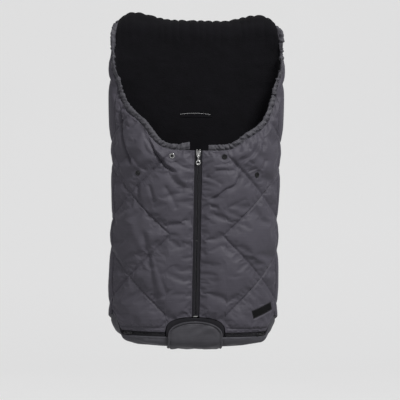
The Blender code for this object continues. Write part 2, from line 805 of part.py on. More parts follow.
def build_casings():
    """Build the hood casing, the two neckline casings and the elastic in each."""
    right = neck_samples()
    hood = hood_samples()
    whole = hood + list(reversed(mirrored(hood)))
    runs = (("hood", whole), ("right_neck", right), ("left_neck", mirrored(right)))
    for name, samples in runs:
        outer = casing_rings(samples, CASING_HALF_WIDTH, CASING_HALF_THICK, True)
        bore = casing_rings(samples, CASING_BORE_HALF_WIDTH, CASING_BORE_HALF_THICK, False)
        sweep(f"{name}_casing", outer, "casing_fabric", bore)
        band = casing_rings(samples, ELASTIC_HALF_WIDTH, ELASTIC_HALF_THICK, False, 4)
        sweep(f"{name}_elastic", band, "elastic")


# Zips


def coil_profile():
    """Return one coil with the woven edge that it is sewn to, as (across, thickness) points."""
    inner, outer, web = COIL_MEET_GAP, COIL_HALF_WIDTH, COIL_WEB_HALF_WIDTH
    thick, thin = COIL_HALF_THICK, COIL_WEB_HALF_THICK
    return [
        (inner, -thick),
        (outer, -thick),
        (outer, -thin),
        (web, -thin),
        (web, thin),
        (outer, thin),
        (outer, thick),
        (inner, thick),
    ]


def build_centre_zip():
    """Build the centre zip's tapes, coils, top stops and the retainer box at its foot."""
    tape_start = COIL_WEB_HALF_WIDTH + SEAT_GAP
    tape = [(tape_start, -TAPE_CLOTH / 2), (TAPE_REACH, -TAPE_CLOTH / 2), (TAPE_REACH, TAPE_CLOTH / 2)]
    tape.append((tape_start, TAPE_CLOTH / 2))
    coil_top = SLIDER_Z + SLIDER_LENGTH / 2 - SLIDER_WEDGE_LENGTH - SEAT_GAP
    coil_foot = ZIP_FOOT_Z + SEAT_GAP
    for side, name in ((-1, "left"), (1, "right")):

        def upright(a, b, c, side=side):
            return (side * a, ZIP_Y + b, c)

        tape_foot = ZIP_FOOT_Z - ZIP_STOP_HEIGHT + 2 * SEAT_GAP
        prism(f"{name}_zip_tape", tape, tape_foot, ZIP_TOP_Z, "tape", upright)
        prism(f"{name}_zip_coil", coil_profile(), coil_foot, coil_top, "coil", upright)
        stop_low = SLIDER_Z + SLIDER_LENGTH / 2 + SEAT_GAP
        inner, outer = COIL_HALF_WIDTH / 2, COIL_WEB_HALF_WIDTH
        stop = [
            (inner, -ZIP_STOP_HALF_THICK),
            (outer, -ZIP_STOP_HALF_THICK),
            (outer, ZIP_STOP_HALF_THICK),
            (inner, ZIP_STOP_HALF_THICK),
        ]
        prism(f"{name}_zip_top_stop", stop, stop_low, stop_low + ZIP_STOP_HEIGHT, "nickel", upright)
    foot_stop = [
        (-COIL_WEB_HALF_WIDTH, -ZIP_STOP_HALF_THICK),
        (COIL_WEB_HALF_WIDTH, -ZIP_STOP_HALF_THICK),
        (COIL_WEB_HALF_WIDTH, ZIP_STOP_HALF_THICK),
        (-COIL_WEB_HALF_WIDTH, ZIP_STOP_HALF_THICK),
    ]

    def upright_middle(a, b, c):
        return (a, ZIP_Y + b, c)

    low = ZIP_FOOT_Z - ZIP_STOP_HEIGHT + 2 * SEAT_GAP
    prism("zip_retainer_box", foot_stop, low, ZIP_FOOT_Z, "nickel", upright_middle)


def foot_run(side, name, profile, finish, end=FOOT_ZIP_END):
    """Sweep a profile of (height over the zip's line, depth about its plane) along one foot zip."""
    rings = []
    for step in range(FOOT_ZIP_STEPS + 1):
        plan, out = door_plan(blend(FOOT_ZIP_START, end, step / FOOT_ZIP_STEPS))
        ring = []
        for up, deep in profile:
            p = plan - out * (ZIP_DEPTH + deep)
            ring.append(Vector((side * p.x, p.y, FOOT_ZIP_Z + up)))
        rings.append(ring)
    return sweep(name, rings, finish)


def build_foot_zips():
    """Build the two foot zips: an upper tape and coil on each door, a lower tape and coil on the gusset."""
    near = COIL_WEB_HALF_WIDTH + SEAT_GAP
    upper_far = near + FOOT_TAPE_HIDDEN
    lower_far = near + FOOT_TAPE_LOWER
    half = TAPE_CLOTH / 2
    for side, name in ((-1, "left"), (1, "right")):
        coil = coil_profile()
        foot_run(side, f"{name}_foot_zip_upper_coil", coil, "coil", FOOT_COIL_END)
        foot_run(side, f"{name}_foot_zip_lower_coil", [(-a, b) for a, b in coil], "coil", FOOT_COIL_END)
        upper = [(near, -half), (upper_far, -half), (upper_far, half), (near, half)]
        lower = [(-near, -half), (-lower_far, -half), (-lower_far, half), (-near, half)]
        foot_run(side, f"{name}_foot_zip_upper_tape", upper, "tape")
        foot_run(side, f"{name}_foot_zip_lower_tape", lower, "tape")


# Sliders and pulls


def box(name, low, high, place):
    """Make a plain box between two local corners, placed in the world."""
    corners = [(low[0], low[2]), (high[0], low[2]), (high[0], high[2]), (low[0], high[2])]
    return prism(name, corners, low[1], high[1], "nickel", lambda a, b, c: place @ Vector((a, c, b)))


def slider_plate(name, low, high, place):
    """Make one shield-shaped plate of a slider, wide at its mouth and narrow at its tail."""
    half = SLIDER_LENGTH / 2
    chamfer = SLIDER_WEDGE_LENGTH / 3
    right = [
        (SLIDER_FOOT_HALF - chamfer, -half),
        (SLIDER_FOOT_HALF, -half + chamfer),
        (SLIDER_FOOT_HALF, 0.0),
        (SLIDER_TOP_HALF, half - 2 * chamfer),
        (SLIDER_TOP_HALF - chamfer, half - chamfer / 3),
        (chamfer / 2, half),
    ]
    outline = right + [(-x, z) for x, z in reversed(right)]
    return prism(name, outline, low, high, "nickel", lambda a, b, c: place @ Vector((a, c, b)))


def build_slider(name, place, finish):
    """Build a coil zip slider: two plates, the wedge between them, side lips and the lug for the pull."""
    front, back = -SLIDER_CHANNEL_HALF, SLIDER_CHANNEL_HALF
    half = SLIDER_LENGTH / 2
    body = slider_plate(name, front - SLIDER_PLATE, front, place)
    overrun = SLIDER_PLATE / 2
    parts = [slider_plate("plate", back, back + SLIDER_PLATE, place)]
    wedge_low = (-SLIDER_WEDGE_HALF, front - overrun, half - SLIDER_WEDGE_LENGTH)
    wedge_high = (SLIDER_WEDGE_HALF, back + overrun, half - overrun)
    parts.append(box("wedge", wedge_low, wedge_high, place))
    for side in (-1, 1):
        for low, high in ((front - overrun, -SLIDER_LIP_HALF_GAP), (SLIDER_LIP_HALF_GAP, back + overrun)):
            ends = sorted((side * SLIDER_LIP_INNER, side * SLIDER_FOOT_HALF))
            lip_foot = -half + SLIDER_WEDGE_LENGTH / 2
            parts.append(box("lip", (ends[0], low, lip_foot), (ends[1], high, overrun), place))
    face = front - SLIDER_PLATE
    low_z, high_z = LUG_OFFSET - LUG_LENGTH / 2, LUG_OFFSET + LUG_LENGTH / 2
    crown = face - LUG_WINDOW - LUG_WALL
    lug = box("lug", (-LUG_HALF_WIDTH, crown, low_z), (LUG_HALF_WIDTH, face + overrun, high_z), place)
    window_low = (-2 * LUG_HALF_WIDTH, face - LUG_WINDOW, low_z + LUG_WALL)
    window_high = (2 * LUG_HALF_WIDTH, face, high_z - LUG_WALL)
    cut_or_join(lug, box("window", window_low, window_high, place), "DIFFERENCE")
    union(body, parts + [lug])
    body.data.materials.clear()
    body.data.materials.append(material(finish))
    set_origin(body, place @ Vector((0, 0, 0)))
    return body


def set_origin(thing, world):
    """Move an object's origin to a world point without moving its surface."""
    shift = Vector(world) - thing.location
    thing.data.transform(Matrix.Translation(-shift))
    thing.location = world


def pull_pivot():
    """Return the pull's pivot in the slider's own frame."""
    window_top = LUG_OFFSET + LUG_LENGTH / 2 - LUG_WALL
    return Vector((0, -SLIDER_CHANNEL_HALF - SLIDER_PLATE - LUG_WINDOW / 2, window_top - LUG_WALL))


def build_pull(name, place, length, finish):
    """Build a pull: a round bar under the slider's lug, an eye round it, and a tab with a hole at its end."""
    pivot = pull_pivot()
    half_thick = PULL_THICK / 2
    neck = PULL_HALF_WIDTH * PULL_NECK_SHARE
    tail = -length + half_thick
    right = [
        (PULL_HALF_WIDTH, 0.0),
        (PULL_HALF_WIDTH, -PULL_EYE_LENGTH + half_thick),
        (neck, -PULL_EYE_LENGTH - half_thick),
        (PULL_HALF_WIDTH, tail + 2 * PULL_HALF_WIDTH),
        (PULL_HALF_WIDTH, tail + PULL_HALF_WIDTH / 2),
        (PULL_HALF_WIDTH / 2, tail),
    ]
    outline = right + [(-x, z) for x, z in reversed(right)]
    local = place @ Matrix.Translation(pivot)

    def at(a, b, c):
        return local @ Vector((a, c, b))

    tab = prism(name, outline, -half_thick, half_thick, finish, at)
    eye = [
        (-PULL_EYE_HALF, PULL_BAR),
        (PULL_EYE_HALF, PULL_BAR),
        (PULL_EYE_HALF, -PULL_EYE_LENGTH + PULL_BAR),
        (-PULL_EYE_HALF, -PULL_EYE_LENGTH + PULL_BAR),
    ]
    cut_or_join(tab, prism("eye", eye, -PULL_BAR, PULL_BAR, finish, at), "DIFFERENCE")
    turns = [2 * math.pi * turn / PULL_SIDES for turn in range(PULL_SIDES)]
    middle = tail + PULL_END_INSET
    hole = [(PULL_END_HOLE * math.cos(turn), middle + PULL_END_HOLE * math.sin(turn)) for turn in turns]
    cut_or_join(tab, prism("hole", hole, -PULL_BAR, PULL_BAR, finish, at), "DIFFERENCE")
    ring = [(math.cos(turn) * PULL_BAR / 2, math.sin(turn) * PULL_BAR / 2) for turn in turns]

    def across(a, b, c):
        return local @ Vector((c, a, b))

    bar = prism("bar", ring, -PULL_HALF_WIDTH, PULL_HALF_WIDTH, finish, across)
    union(tab, [bar])
    set_origin(tab, local @ Vector((0, 0, 0)))
    return tab


def foot_slider_place(side):
    """Return the frame of a parked foot slider, its mouth towards the side seam."""
    plan, out = door_plan(FOOT_SLIDER_GIRTH)
    along = Vector((-out.y * side, out.x, 0))
    inward = Vector((-out.x * side, -out.y, 0))
    across = inward.cross(along)
    spot = plan - out * ZIP_DEPTH
    frame = Matrix((across, inward, along)).transposed().to_4x4()
    return Matrix.Translation((side * spot.x, spot.y, FOOT_ZIP_Z)) @ frame


def build_sliders():
    """Build the centre slider and the two foot sliders with their pulls."""
    centre = Matrix.Translation((0, ZIP_Y, SLIDER_Z))
    build_slider("zip_slider", centre, "nickel")
    build_pull("zip_pull", centre, PULL_LENGTH, "nickel")
    for side, name in ((-1, "left"), (1, "right")):
        place = foot_slider_place(side)
        build_slider(f"{name}_foot_zip_slider", place, "black_metal")
        build_pull(f"{name}_foot_zip_pull", place, FOOT_PULL_LENGTH, "black_metal")


# Press studs, label and foot end


def seat_on(tree, x, z, reach):
    """Return the seat of a flat piece of half size reach on a door's face, and the face's normal."""
    ahead = BAG_FRONT_Y * 2
    centre, normal, _, _ = tree.ray_cast(Vector((x, ahead, z)), Vector((0, 1, 0)))
    if normal.y > 0:
        normal.negate()
    across = normal.cross(Vector((0, 0, 1))).normalized()
    up = across.cross(normal)
    normals = []
    spots = []
    for turn in range(STUD_PROBES):
        angle = 2 * math.pi * turn / STUD_PROBES
        spot = centre + (across * math.cos(angle) + up * math.sin(angle)) * reach
        hit, facing, _, _ = tree.ray_cast(Vector((spot.x, ahead, spot.z)), Vector((0, 1, 0)))
        spots.append(hit)
        normals.append(-facing if facing.y > 0 else facing)
    mean = sum(normals, normal.copy()).normalized()
    height = max([0.0] + [(spot - centre).dot(mean) for spot in spots])
    return centre + mean * (height + SEAT_GAP), mean


def build_stud(name, tree, x, z, finish):
    """Build one press stud: a rolled rim round a dished centre with a raised boss, turned about its axis."""
    seat, normal = seat_on(tree, x, z, STUD_RADIUS)
    across = normal.cross(Vector((0, 0, 1))).normalized()
    up = across.cross(normal)
    points = []
    for radius_share, height_share in STUD_PROFILE_SHARES:
        lift = seat + normal * (STUD_HEIGHT * height_share)
        if radius_share == 0:
            points.append([lift])
            continue
        ring = []
        for turn in range(STUD_SIDES):
            angle = 2 * math.pi * turn / STUD_SIDES
            spoke = across * math.cos(angle) + up * math.sin(angle)
            ring.append(lift + spoke * (STUD_RADIUS * radius_share))
        points.append(ring)
    flat = []
    starts = []
    for ring in points:
        starts.append(len(flat))
        flat += ring
    faces = []
    for low, high in zip(range(len(points)), range(1, len(points))):
        for turn in range(STUD_SIDES):
            after = (turn + 1) % STUD_SIDES
            a, b = starts[low] + turn, starts[low] + after
            c, d = starts[high] + after, starts[high] + turn
            if len(points[low]) == 1:
                faces.append((starts[low], c, d))
            elif len(points[high]) == 1:
                faces.append((a, b, starts[high]))
            else:
                faces.append((a, b, c, d))
    stud = mesh_object(name, flat, faces, finish, seat)
    stud.data.shade_smooth()
    stud.data.set_sharp_from_angle(angle=math.radians(40))
    return stud


def build_studs(side, name, tree):
    """Build a door's two press studs, seated on its outer fabric."""
    upper = "nickel" if side < 0 else "black_metal"
    build_stud(f"{name}_upper_press_stud", tree, side * UPPER_STUD_X, UPPER_STUD_Z, upper)
    build_stud(f"{name}_lower_press_stud", tree, side * LOWER_STUD_X, LOWER_STUD_Z, "black_metal")


def build_label(tree):
    """Build the bare woven label, wrapped on the right door's face."""
    centre = girth_at(LABEL_X)
    outer = []
    inner = []
    for row in (-0.5, 0.5):
        front_line = []
        back_line = []
        for step in range(LABEL_CELLS + 1):
            along = (step / LABEL_CELLS - 0.5) * LABEL_WIDTH
            across = row * LABEL_HEIGHT
            girth = centre + along * math.cos(LABEL_TILT) - across * math.sin(LABEL_TILT)
            z = LABEL_Z + along * math.sin(LABEL_TILT) + across * math.cos(LABEL_TILT)
            plan, out = door_plan(girth)
            seat = plan + Vector((0, 0, z)) + out * (QUILT_CROWN + SEAT_GAP)
            back_line.append(seat)
            front_line.append(seat + out * LABEL_THICK)
        outer.append(front_line)
        inner.append(back_line)
    slab("sewn_label", np.array(outer), np.array(inner), "label")


def gusset_outline(inset):
    """Return the right half of the bag's outline at the foot, inset from its outer face, front to back."""
    outline = []
    round_part = [line for line in door_columns()[:-1] if line > DOOR_FLAT_HALF]
    for girth in [0.0] + round_part + [SEAM_GIRTH]:
        plan, out = door_plan(girth)
        corner = smooth((girth - FOOT_CORNER_START) / (SEAM_GIRTH - FOOT_CORNER_START))
        door_foot = DOOR_FOOT_Z + FOOT_CORNER_RISE * corner
        rim = blend(FOOT_RIM_Z - DOOR_FOOT_Z, -SEAT_GAP, corner) + door_foot
        outline.append(plan - out * inset + Vector((0, 0, rim)))
    columns = back_columns(-BACK_FOOT_Z)
    for across in reversed(columns[len(columns) // 2 : -1]):
        path = back_foot_path(across)
        point, normal, _ = back_frame(across, path)
        outline.append(point + normal * inset - Vector((0, 0, SEAT_GAP)))
    return outline


def gusset_surface(inset):
    """Return the gusset pan's rings of points from rim to centre, inset from its outer face."""
    half = gusset_outline(inset)
    whole = half + [Vector((-p.x, p.y, p.z)) for p in reversed(half[1:-1])]
    low = FOOT_RIM_Z - GUSSET_DEPTH + inset
    rings = []
    for turn_share in GUSSET_RING_SHARES:
        turn = turn_share * math.pi / 2
        inward = math.cos(turn) ** (2 / GUSSET_POWER)
        down = math.sin(turn) ** (2 / GUSSET_POWER)
        ring = []
        for p in whole:
            y = blend(GUSSET_CENTRE_Y, p.y, inward)
            ring.append((p.x * inward, y, blend(p.z, low, down)))
        rings.append(ring)
    return rings


def build_gusset():
    """Build the foot gusset, a shallow padded pan under the bag, and its fleece lining."""
    layers = (
        ("foot_gusset_outer", 0.0, GUSSET_WALL, "casing_fabric"),
        ("foot_gusset_lining", GUSSET_WALL + SEAT_GAP, GUSSET_WALL + SEAT_GAP + FLEECE, "fleece"),
    )
    for name, low, high, finish in layers:
        points = []
        faces = []
        count = None
        for inset in (low, high):
            rings = gusset_surface(inset)
            count = len(rings[0])
            start = len(points)
            for ring in rings:
                points += ring
            centre = len(points)
            points.append((0.0, GUSSET_CENTRE_Y, FOOT_RIM_Z - GUSSET_DEPTH + inset))
            for ring in range(len(rings) - 1):
                for side in range(count):
                    after = (side + 1) % count
                    a = start + ring * count + side
                    b = start + ring * count + after
                    faces.append((a, b, b + count))
                    faces.append((a, b + count, a + count))
            last = start + (len(rings) - 1) * count
            for side in range(count):
                faces.append((last + side, last + (side + 1) % count, centre))
        inner_start = len(points) // 2
        for side in range(count):
            after = (side + 1) % count
            faces.append((side, after, inner_start + after))
            faces.append((side, inner_start + after, inner_start + side))
        mesh_object(name, points, faces, finish)


def tongue_outline():
    """Return the tongue's D-shaped outline, which follows the doors' arched cut-out a margin inside it."""
    narrower = 1 - TONGUE_MARGIN / ARCH_HALF_WIDTH
    lower = 1 - TONGUE_MARGIN / ARCH_RISE
    right = []
    for x in [0.0] + [line for line in door_columns() if line <= ARCH_HALF_WIDTH]:
        z = DOOR_FOOT_Z + lower * arch_height(x, ARCH_HALF_WIDTH, ARCH_RISE)
        right.append((x * narrower, z))
    right.append((ARCH_HALF_WIDTH * narrower, FOOT_RIM_Z + SEAT_GAP))
    left = [(-x, z) for x, z in reversed(right[1:])]
    return left + right


def build_tongue():
    """Build the tongue behind the flap, with its loop patch."""

    def at(a, b, c):
        return (a, BAG_FRONT_Y + c, b)

    prism("foot_tongue", tongue_outline(), 0.0, TONGUE_THICK, "tape", at)
    top = DOOR_FOOT_Z + ARCH_RISE - PATCH_DROP
    patch = [
        (-PATCH_HALF_WIDTH, top - PATCH_HEIGHT),
        (PATCH_HALF_WIDTH, top - PATCH_HEIGHT),
        (PATCH_HALF_WIDTH, top),
        (-PATCH_HALF_WIDTH, top),
    ]
    prism("tongue_loop_patch", patch, -SEAT_GAP - PATCH_THICK, -SEAT_GAP, "hook_loop", at)
    hook_back = -2 * SEAT_GAP - PATCH_THICK
    prism("flap_hook_patch", patch, hook_back - PATCH_THICK, hook_back, "hook_loop", at)


def flap_hinge():
    """Return the flap's hinge point in the plane x = 0."""
    turn = FLAP_WRAP_SHARE * math.pi / 2
    y = GUSSET_CENTRE_Y + (BAG_FRONT_Y - GUSSET_CENTRE_Y) * math.cos(turn) ** (2 / GUSSET_POWER)
    return Vector((0, y, FOOT_RIM_Z - GUSSET_DEPTH - SEAT_GAP))


def flap_line():
    """Return the flap's centre line from its top to its hinge, as points with outward normals."""
    top = DOOR_FOOT_Z + ARCH_RISE - FLAP_TOP_MARGIN
    line = []
    for share in FLAP_ROW_SHARES:
        line.append((Vector((0, BAG_FRONT_Y, blend(top, FOOT_RIM_Z, share))), Vector((0, -1, 0)), 1.0))
    for share in FLAP_WRAP_ROW_SHARES:
        turn = share * FLAP_WRAP_SHARE * math.pi / 2
        power = 2 / GUSSET_POWER
        depth = BAG_FRONT_Y - GUSSET_CENTRE_Y
        y = GUSSET_CENTRE_Y + depth * math.cos(turn) ** power
        z = FOOT_RIM_Z - GUSSET_DEPTH * math.sin(turn) ** power
        out = Vector((0, -math.cos(turn), -math.sin(turn)))
        line.append((Vector((0, y, z)), out, 1 - share))
    return line


def build_flap():
    """Build the D-shaped flap, wrapped from the tongue to its hinge seam under the gusset."""
    half = ARCH_HALF_WIDTH - FLAP_MARGIN
    top = DOOR_FOOT_Z + ARCH_RISE - FLAP_TOP_MARGIN
    rise = ARCH_RISE - FLAP_TOP_MARGIN
    hinge = flap_hinge()

    def grid(extra):
        rows = []
        for point, out, lift_share in flap_line():
            down = min(rise, max(0.0, point.z - (top - rise)))
            wide = half * (1 - (down / rise) ** ARCH_POWER) ** (1 / ARCH_POWER) if down > 0 else half
            wide = max(wide, half * FLAP_TOP_SHARE)
            stand = blend(SEAT_GAP, FLAP_STAND_OFF, lift_share) + extra
            rows.append([tuple(point + out * stand + Vector((u * wide, 0, 0))) for u in FLAP_COLUMN_SHARES])
        return np.array(rows)

    lining = slab("foot_flap_lining", grid(0.0), grid(FLAP_LINING), "tape", origin=hinge)
    start = FLAP_LINING + SEAT_GAP
    outer = slab("foot_flap_outer", grid(start), grid(start + FLAP_OUTER), "flap_fabric", origin=hinge)
    return lining, outer


def hang_on_pivot(name, place, things):
    """Parent things to an empty that stands on their joint's axis, without moving them."""
    empty = bpy.data.objects.new(name, None)
    empty.location = place
    empty.empty_display_size = PIVOT_SIZE
    bpy.context.scene.collection.objects.link(empty)
    bpy.context.view_layer.update()
    for thing in things:
        thing.parent = empty
        thing.matrix_parent_inverse = empty.matrix_world.inverted()


def build_pivots():
    """Stand the doors, the foot sliders and the flap's patch on their joints' axes."""
    objects = bpy.data.objects
    out = door_plan(SEAM_GIRTH)[1]
    seam = Vector((SEAM_X, SEAM_Y, NECK_LOW_Z)) + out * HINGE_STAND_OFF
    for side, name in ((-1, "left"), (1, "right")):
        words = (f"{name}_front_", f"{name}_neck_", f"{name}_zip_", f"{name}_foot_zip_upper_")
        moving = [thing for thing in objects if thing.name.startswith(words)]
        if side > 0:
            moving += [objects["zip_retainer_box"], objects["sewn_label"]]
        hang_on_pivot(f"{name}_front_pivot", (side * seam.x, seam.y, seam.z), moving)
        slider = objects[f"{name}_foot_zip_slider"]
        hang_on_pivot(f"{name}_foot_slider_pivot", (side * DOOR_FLAT_HALF, DOOR_ARC_Y, FOOT_ZIP_Z), [slider])
    set_origin(objects["flap_hook_patch"], flap_hinge())


def fabric_tree(thing):
    """Return a search tree over an object's surface in the world."""
    bpy.context.view_layer.update()
    return BVHTree.FromPolygons(
        [thing.matrix_world @ v.co for v in thing.data.vertices],
        [tuple(p.vertices) for p in thing.data.polygons],
    )


def main():
    """Build the whole footmuff."""
    clear_scene()
    build_back()
    build_slot_bindings()
    for side, name in ((-1, "left_front"), (1, "right_front")):
        outer = build_door(side, name)
        tree = fabric_tree(outer)
        build_studs(side, name, tree)
        if side > 0:
            build_label(tree)
    build_casings()
    build_centre_zip()
    build_foot_zips()
    build_sliders()
    build_gusset()
    build_tongue()
    build_flap()
    build_pivots()


main()
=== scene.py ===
"""Dress the hanging footmuff: quilted doors, fleece lining, ruched casings, coil zips and foot flap.

Every length is in metres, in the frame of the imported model. The rail that the hood hangs over runs along X
through the origin, the front faces -Y and +Z is up.
"""

import json
import logging
import math
from collections.abc import Iterable, Iterator
from dataclasses import dataclass, replace
from enum import Enum
from typing import Any

import bpy
import numpy as np
from mathutils import Matrix, Vector
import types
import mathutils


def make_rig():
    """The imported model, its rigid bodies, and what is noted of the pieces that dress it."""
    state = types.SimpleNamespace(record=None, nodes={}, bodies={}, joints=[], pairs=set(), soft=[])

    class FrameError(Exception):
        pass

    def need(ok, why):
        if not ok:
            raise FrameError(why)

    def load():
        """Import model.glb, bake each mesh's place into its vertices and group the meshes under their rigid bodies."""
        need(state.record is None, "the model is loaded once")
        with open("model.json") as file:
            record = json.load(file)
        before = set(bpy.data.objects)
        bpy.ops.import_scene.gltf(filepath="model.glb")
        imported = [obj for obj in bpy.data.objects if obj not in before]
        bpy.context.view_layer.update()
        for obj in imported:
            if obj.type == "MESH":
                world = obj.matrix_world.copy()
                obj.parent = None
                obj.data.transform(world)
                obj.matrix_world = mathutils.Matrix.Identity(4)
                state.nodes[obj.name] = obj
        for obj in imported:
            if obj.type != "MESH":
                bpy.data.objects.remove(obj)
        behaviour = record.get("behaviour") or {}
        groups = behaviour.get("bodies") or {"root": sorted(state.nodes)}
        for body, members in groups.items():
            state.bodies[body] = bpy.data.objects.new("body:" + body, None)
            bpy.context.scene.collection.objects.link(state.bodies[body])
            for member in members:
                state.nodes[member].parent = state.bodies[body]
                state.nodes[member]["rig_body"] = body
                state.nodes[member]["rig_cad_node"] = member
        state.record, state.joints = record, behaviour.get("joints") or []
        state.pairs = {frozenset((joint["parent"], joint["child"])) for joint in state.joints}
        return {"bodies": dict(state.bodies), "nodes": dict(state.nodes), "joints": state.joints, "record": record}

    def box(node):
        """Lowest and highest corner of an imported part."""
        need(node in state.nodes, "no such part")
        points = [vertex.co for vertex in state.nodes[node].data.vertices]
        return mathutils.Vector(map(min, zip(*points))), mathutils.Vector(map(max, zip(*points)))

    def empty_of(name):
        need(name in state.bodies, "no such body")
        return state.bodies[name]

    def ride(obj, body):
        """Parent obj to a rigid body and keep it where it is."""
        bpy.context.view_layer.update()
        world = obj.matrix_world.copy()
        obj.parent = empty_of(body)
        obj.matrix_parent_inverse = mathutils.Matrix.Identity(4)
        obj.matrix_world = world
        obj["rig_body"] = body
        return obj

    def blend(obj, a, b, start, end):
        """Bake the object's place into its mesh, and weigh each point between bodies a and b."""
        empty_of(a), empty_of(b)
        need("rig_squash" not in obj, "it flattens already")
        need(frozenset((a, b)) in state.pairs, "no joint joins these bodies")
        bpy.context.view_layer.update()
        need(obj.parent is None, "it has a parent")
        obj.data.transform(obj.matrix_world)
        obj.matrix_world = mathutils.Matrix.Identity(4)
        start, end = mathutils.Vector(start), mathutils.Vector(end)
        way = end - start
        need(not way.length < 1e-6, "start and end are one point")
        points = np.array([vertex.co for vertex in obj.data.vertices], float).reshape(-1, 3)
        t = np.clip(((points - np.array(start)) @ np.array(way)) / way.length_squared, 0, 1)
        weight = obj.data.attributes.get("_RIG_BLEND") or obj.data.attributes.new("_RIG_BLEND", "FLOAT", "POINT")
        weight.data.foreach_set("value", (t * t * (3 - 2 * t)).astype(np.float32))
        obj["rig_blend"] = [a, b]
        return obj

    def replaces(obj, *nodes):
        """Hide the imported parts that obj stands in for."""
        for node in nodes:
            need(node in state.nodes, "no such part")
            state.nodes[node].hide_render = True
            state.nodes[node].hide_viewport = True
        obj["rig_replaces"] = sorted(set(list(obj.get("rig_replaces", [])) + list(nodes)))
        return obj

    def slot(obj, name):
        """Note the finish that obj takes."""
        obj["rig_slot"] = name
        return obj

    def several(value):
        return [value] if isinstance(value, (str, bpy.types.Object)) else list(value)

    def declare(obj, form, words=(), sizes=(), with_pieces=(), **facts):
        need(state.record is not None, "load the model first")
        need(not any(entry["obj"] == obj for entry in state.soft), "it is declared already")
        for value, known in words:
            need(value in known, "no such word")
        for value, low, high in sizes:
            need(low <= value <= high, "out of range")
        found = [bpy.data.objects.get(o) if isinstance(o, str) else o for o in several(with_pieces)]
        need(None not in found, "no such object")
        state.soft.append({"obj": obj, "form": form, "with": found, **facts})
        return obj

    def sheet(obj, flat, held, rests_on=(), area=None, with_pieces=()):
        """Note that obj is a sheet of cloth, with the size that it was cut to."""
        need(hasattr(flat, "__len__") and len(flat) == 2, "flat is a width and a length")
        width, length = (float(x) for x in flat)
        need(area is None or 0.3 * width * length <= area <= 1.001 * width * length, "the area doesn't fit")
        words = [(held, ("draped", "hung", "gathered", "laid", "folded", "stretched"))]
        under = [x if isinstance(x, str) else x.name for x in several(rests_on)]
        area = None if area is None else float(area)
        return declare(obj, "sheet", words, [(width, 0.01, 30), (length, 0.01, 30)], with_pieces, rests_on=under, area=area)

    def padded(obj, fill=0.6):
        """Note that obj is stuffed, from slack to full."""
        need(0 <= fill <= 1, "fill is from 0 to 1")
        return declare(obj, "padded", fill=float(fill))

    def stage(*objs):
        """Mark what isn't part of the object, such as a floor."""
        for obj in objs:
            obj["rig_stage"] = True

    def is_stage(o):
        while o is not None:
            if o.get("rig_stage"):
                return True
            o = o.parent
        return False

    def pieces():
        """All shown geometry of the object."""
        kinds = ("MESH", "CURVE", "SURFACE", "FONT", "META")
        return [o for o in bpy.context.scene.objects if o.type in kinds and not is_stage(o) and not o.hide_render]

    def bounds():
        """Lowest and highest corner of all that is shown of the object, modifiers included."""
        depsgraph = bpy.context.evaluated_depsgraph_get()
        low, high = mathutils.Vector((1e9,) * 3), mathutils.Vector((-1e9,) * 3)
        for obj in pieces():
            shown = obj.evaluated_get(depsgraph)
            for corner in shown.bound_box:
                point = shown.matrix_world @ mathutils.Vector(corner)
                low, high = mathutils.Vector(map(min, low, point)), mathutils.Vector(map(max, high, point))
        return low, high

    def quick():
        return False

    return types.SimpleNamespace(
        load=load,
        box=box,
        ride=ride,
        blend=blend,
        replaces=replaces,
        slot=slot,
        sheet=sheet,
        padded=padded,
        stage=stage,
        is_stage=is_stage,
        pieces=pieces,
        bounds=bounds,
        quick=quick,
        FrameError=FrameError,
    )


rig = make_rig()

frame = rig.load()
CAD_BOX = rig.bounds()

MM = 0.001
LOG = logging.getLogger("footmuff")

Grid = np.ndarray
Thing = bpy.types.Object
Tree = bpy.types.NodeTree
Node = bpy.types.Node
Values = dict[Any, Any]


# Helpers for numbers


def ease(x: Grid, reach: float = 1000.0) -> Grid:
    """Ease from 0 to 1 with level ends, while x goes from 0 to its reach in millimetres."""
    t = np.clip(x / (reach * MM), 0.0, 1.0)
    return t * t * (3 - 2 * t)


def bell(x: Grid, width: float) -> Grid:
    """Return a bell curve that is 1 where x is 0 and falls off over a width in millimetres."""
    return np.exp(-((x / (width * MM)) ** 2))


def fall(x: Grid, reach: float) -> Grid:
    """Return a share that falls from 1 where x is 0, over a reach in millimetres."""
    return np.exp(-x / (reach * MM))


def rolled(edge: Grid, reach: float) -> Grid:
    """Return the share by which a rolled edge drops, from 1 at the edge to 0 at its reach in millimetres."""
    turn = 1 - np.clip(edge / (reach * MM), 0.0, 1.0)
    return 1 - np.sqrt(1 - turn**2)


def unit(vectors: Grid) -> Grid:
    """Return vectors of length one."""
    return vectors / np.maximum(np.linalg.norm(vectors, axis=-1, keepdims=True), 1e-12)


def travelled(points: Grid) -> Grid:
    """Return the length of the path up to each of its points."""
    return np.concatenate([[0.0], np.cumsum(np.linalg.norm(np.diff(points, axis=0), axis=1))])


def noise(seed: int, u: Grid, v: Grid, wide: float = 1000.0, tall: float = 1000.0, size: int = 97) -> Grid:
    """Return smooth noise over a plane.

    Args:
        seed: the seed of its table.
        u: the points' first coordinates.
        v: their second coordinates.
        wide: width of one bump along u, in millimetres.
        tall: its width along v.
        size: number of bumps after which it repeats.

    Returns:
        The noise at each point, from -1 to 1.
    """
    table = np.random.default_rng(seed).uniform(-1.0, 1.0, (size, size))
    u, v = np.broadcast_arrays(u / (wide * MM), v / (tall * MM))
    low_u, low_v = np.floor(u).astype(int), np.floor(v).astype(int)
    share_u, share_v = ease(u - low_u), ease(v - low_v)
    rows = [[table[(low_u + a) % size, (low_v + b) % size] for b in (0, 1)] for a in (0, 1)]
    low, high = (row[0] * (1 - share_v) + row[1] * share_v for row in rows)
    return low * (1 - share_u) + high * share_u


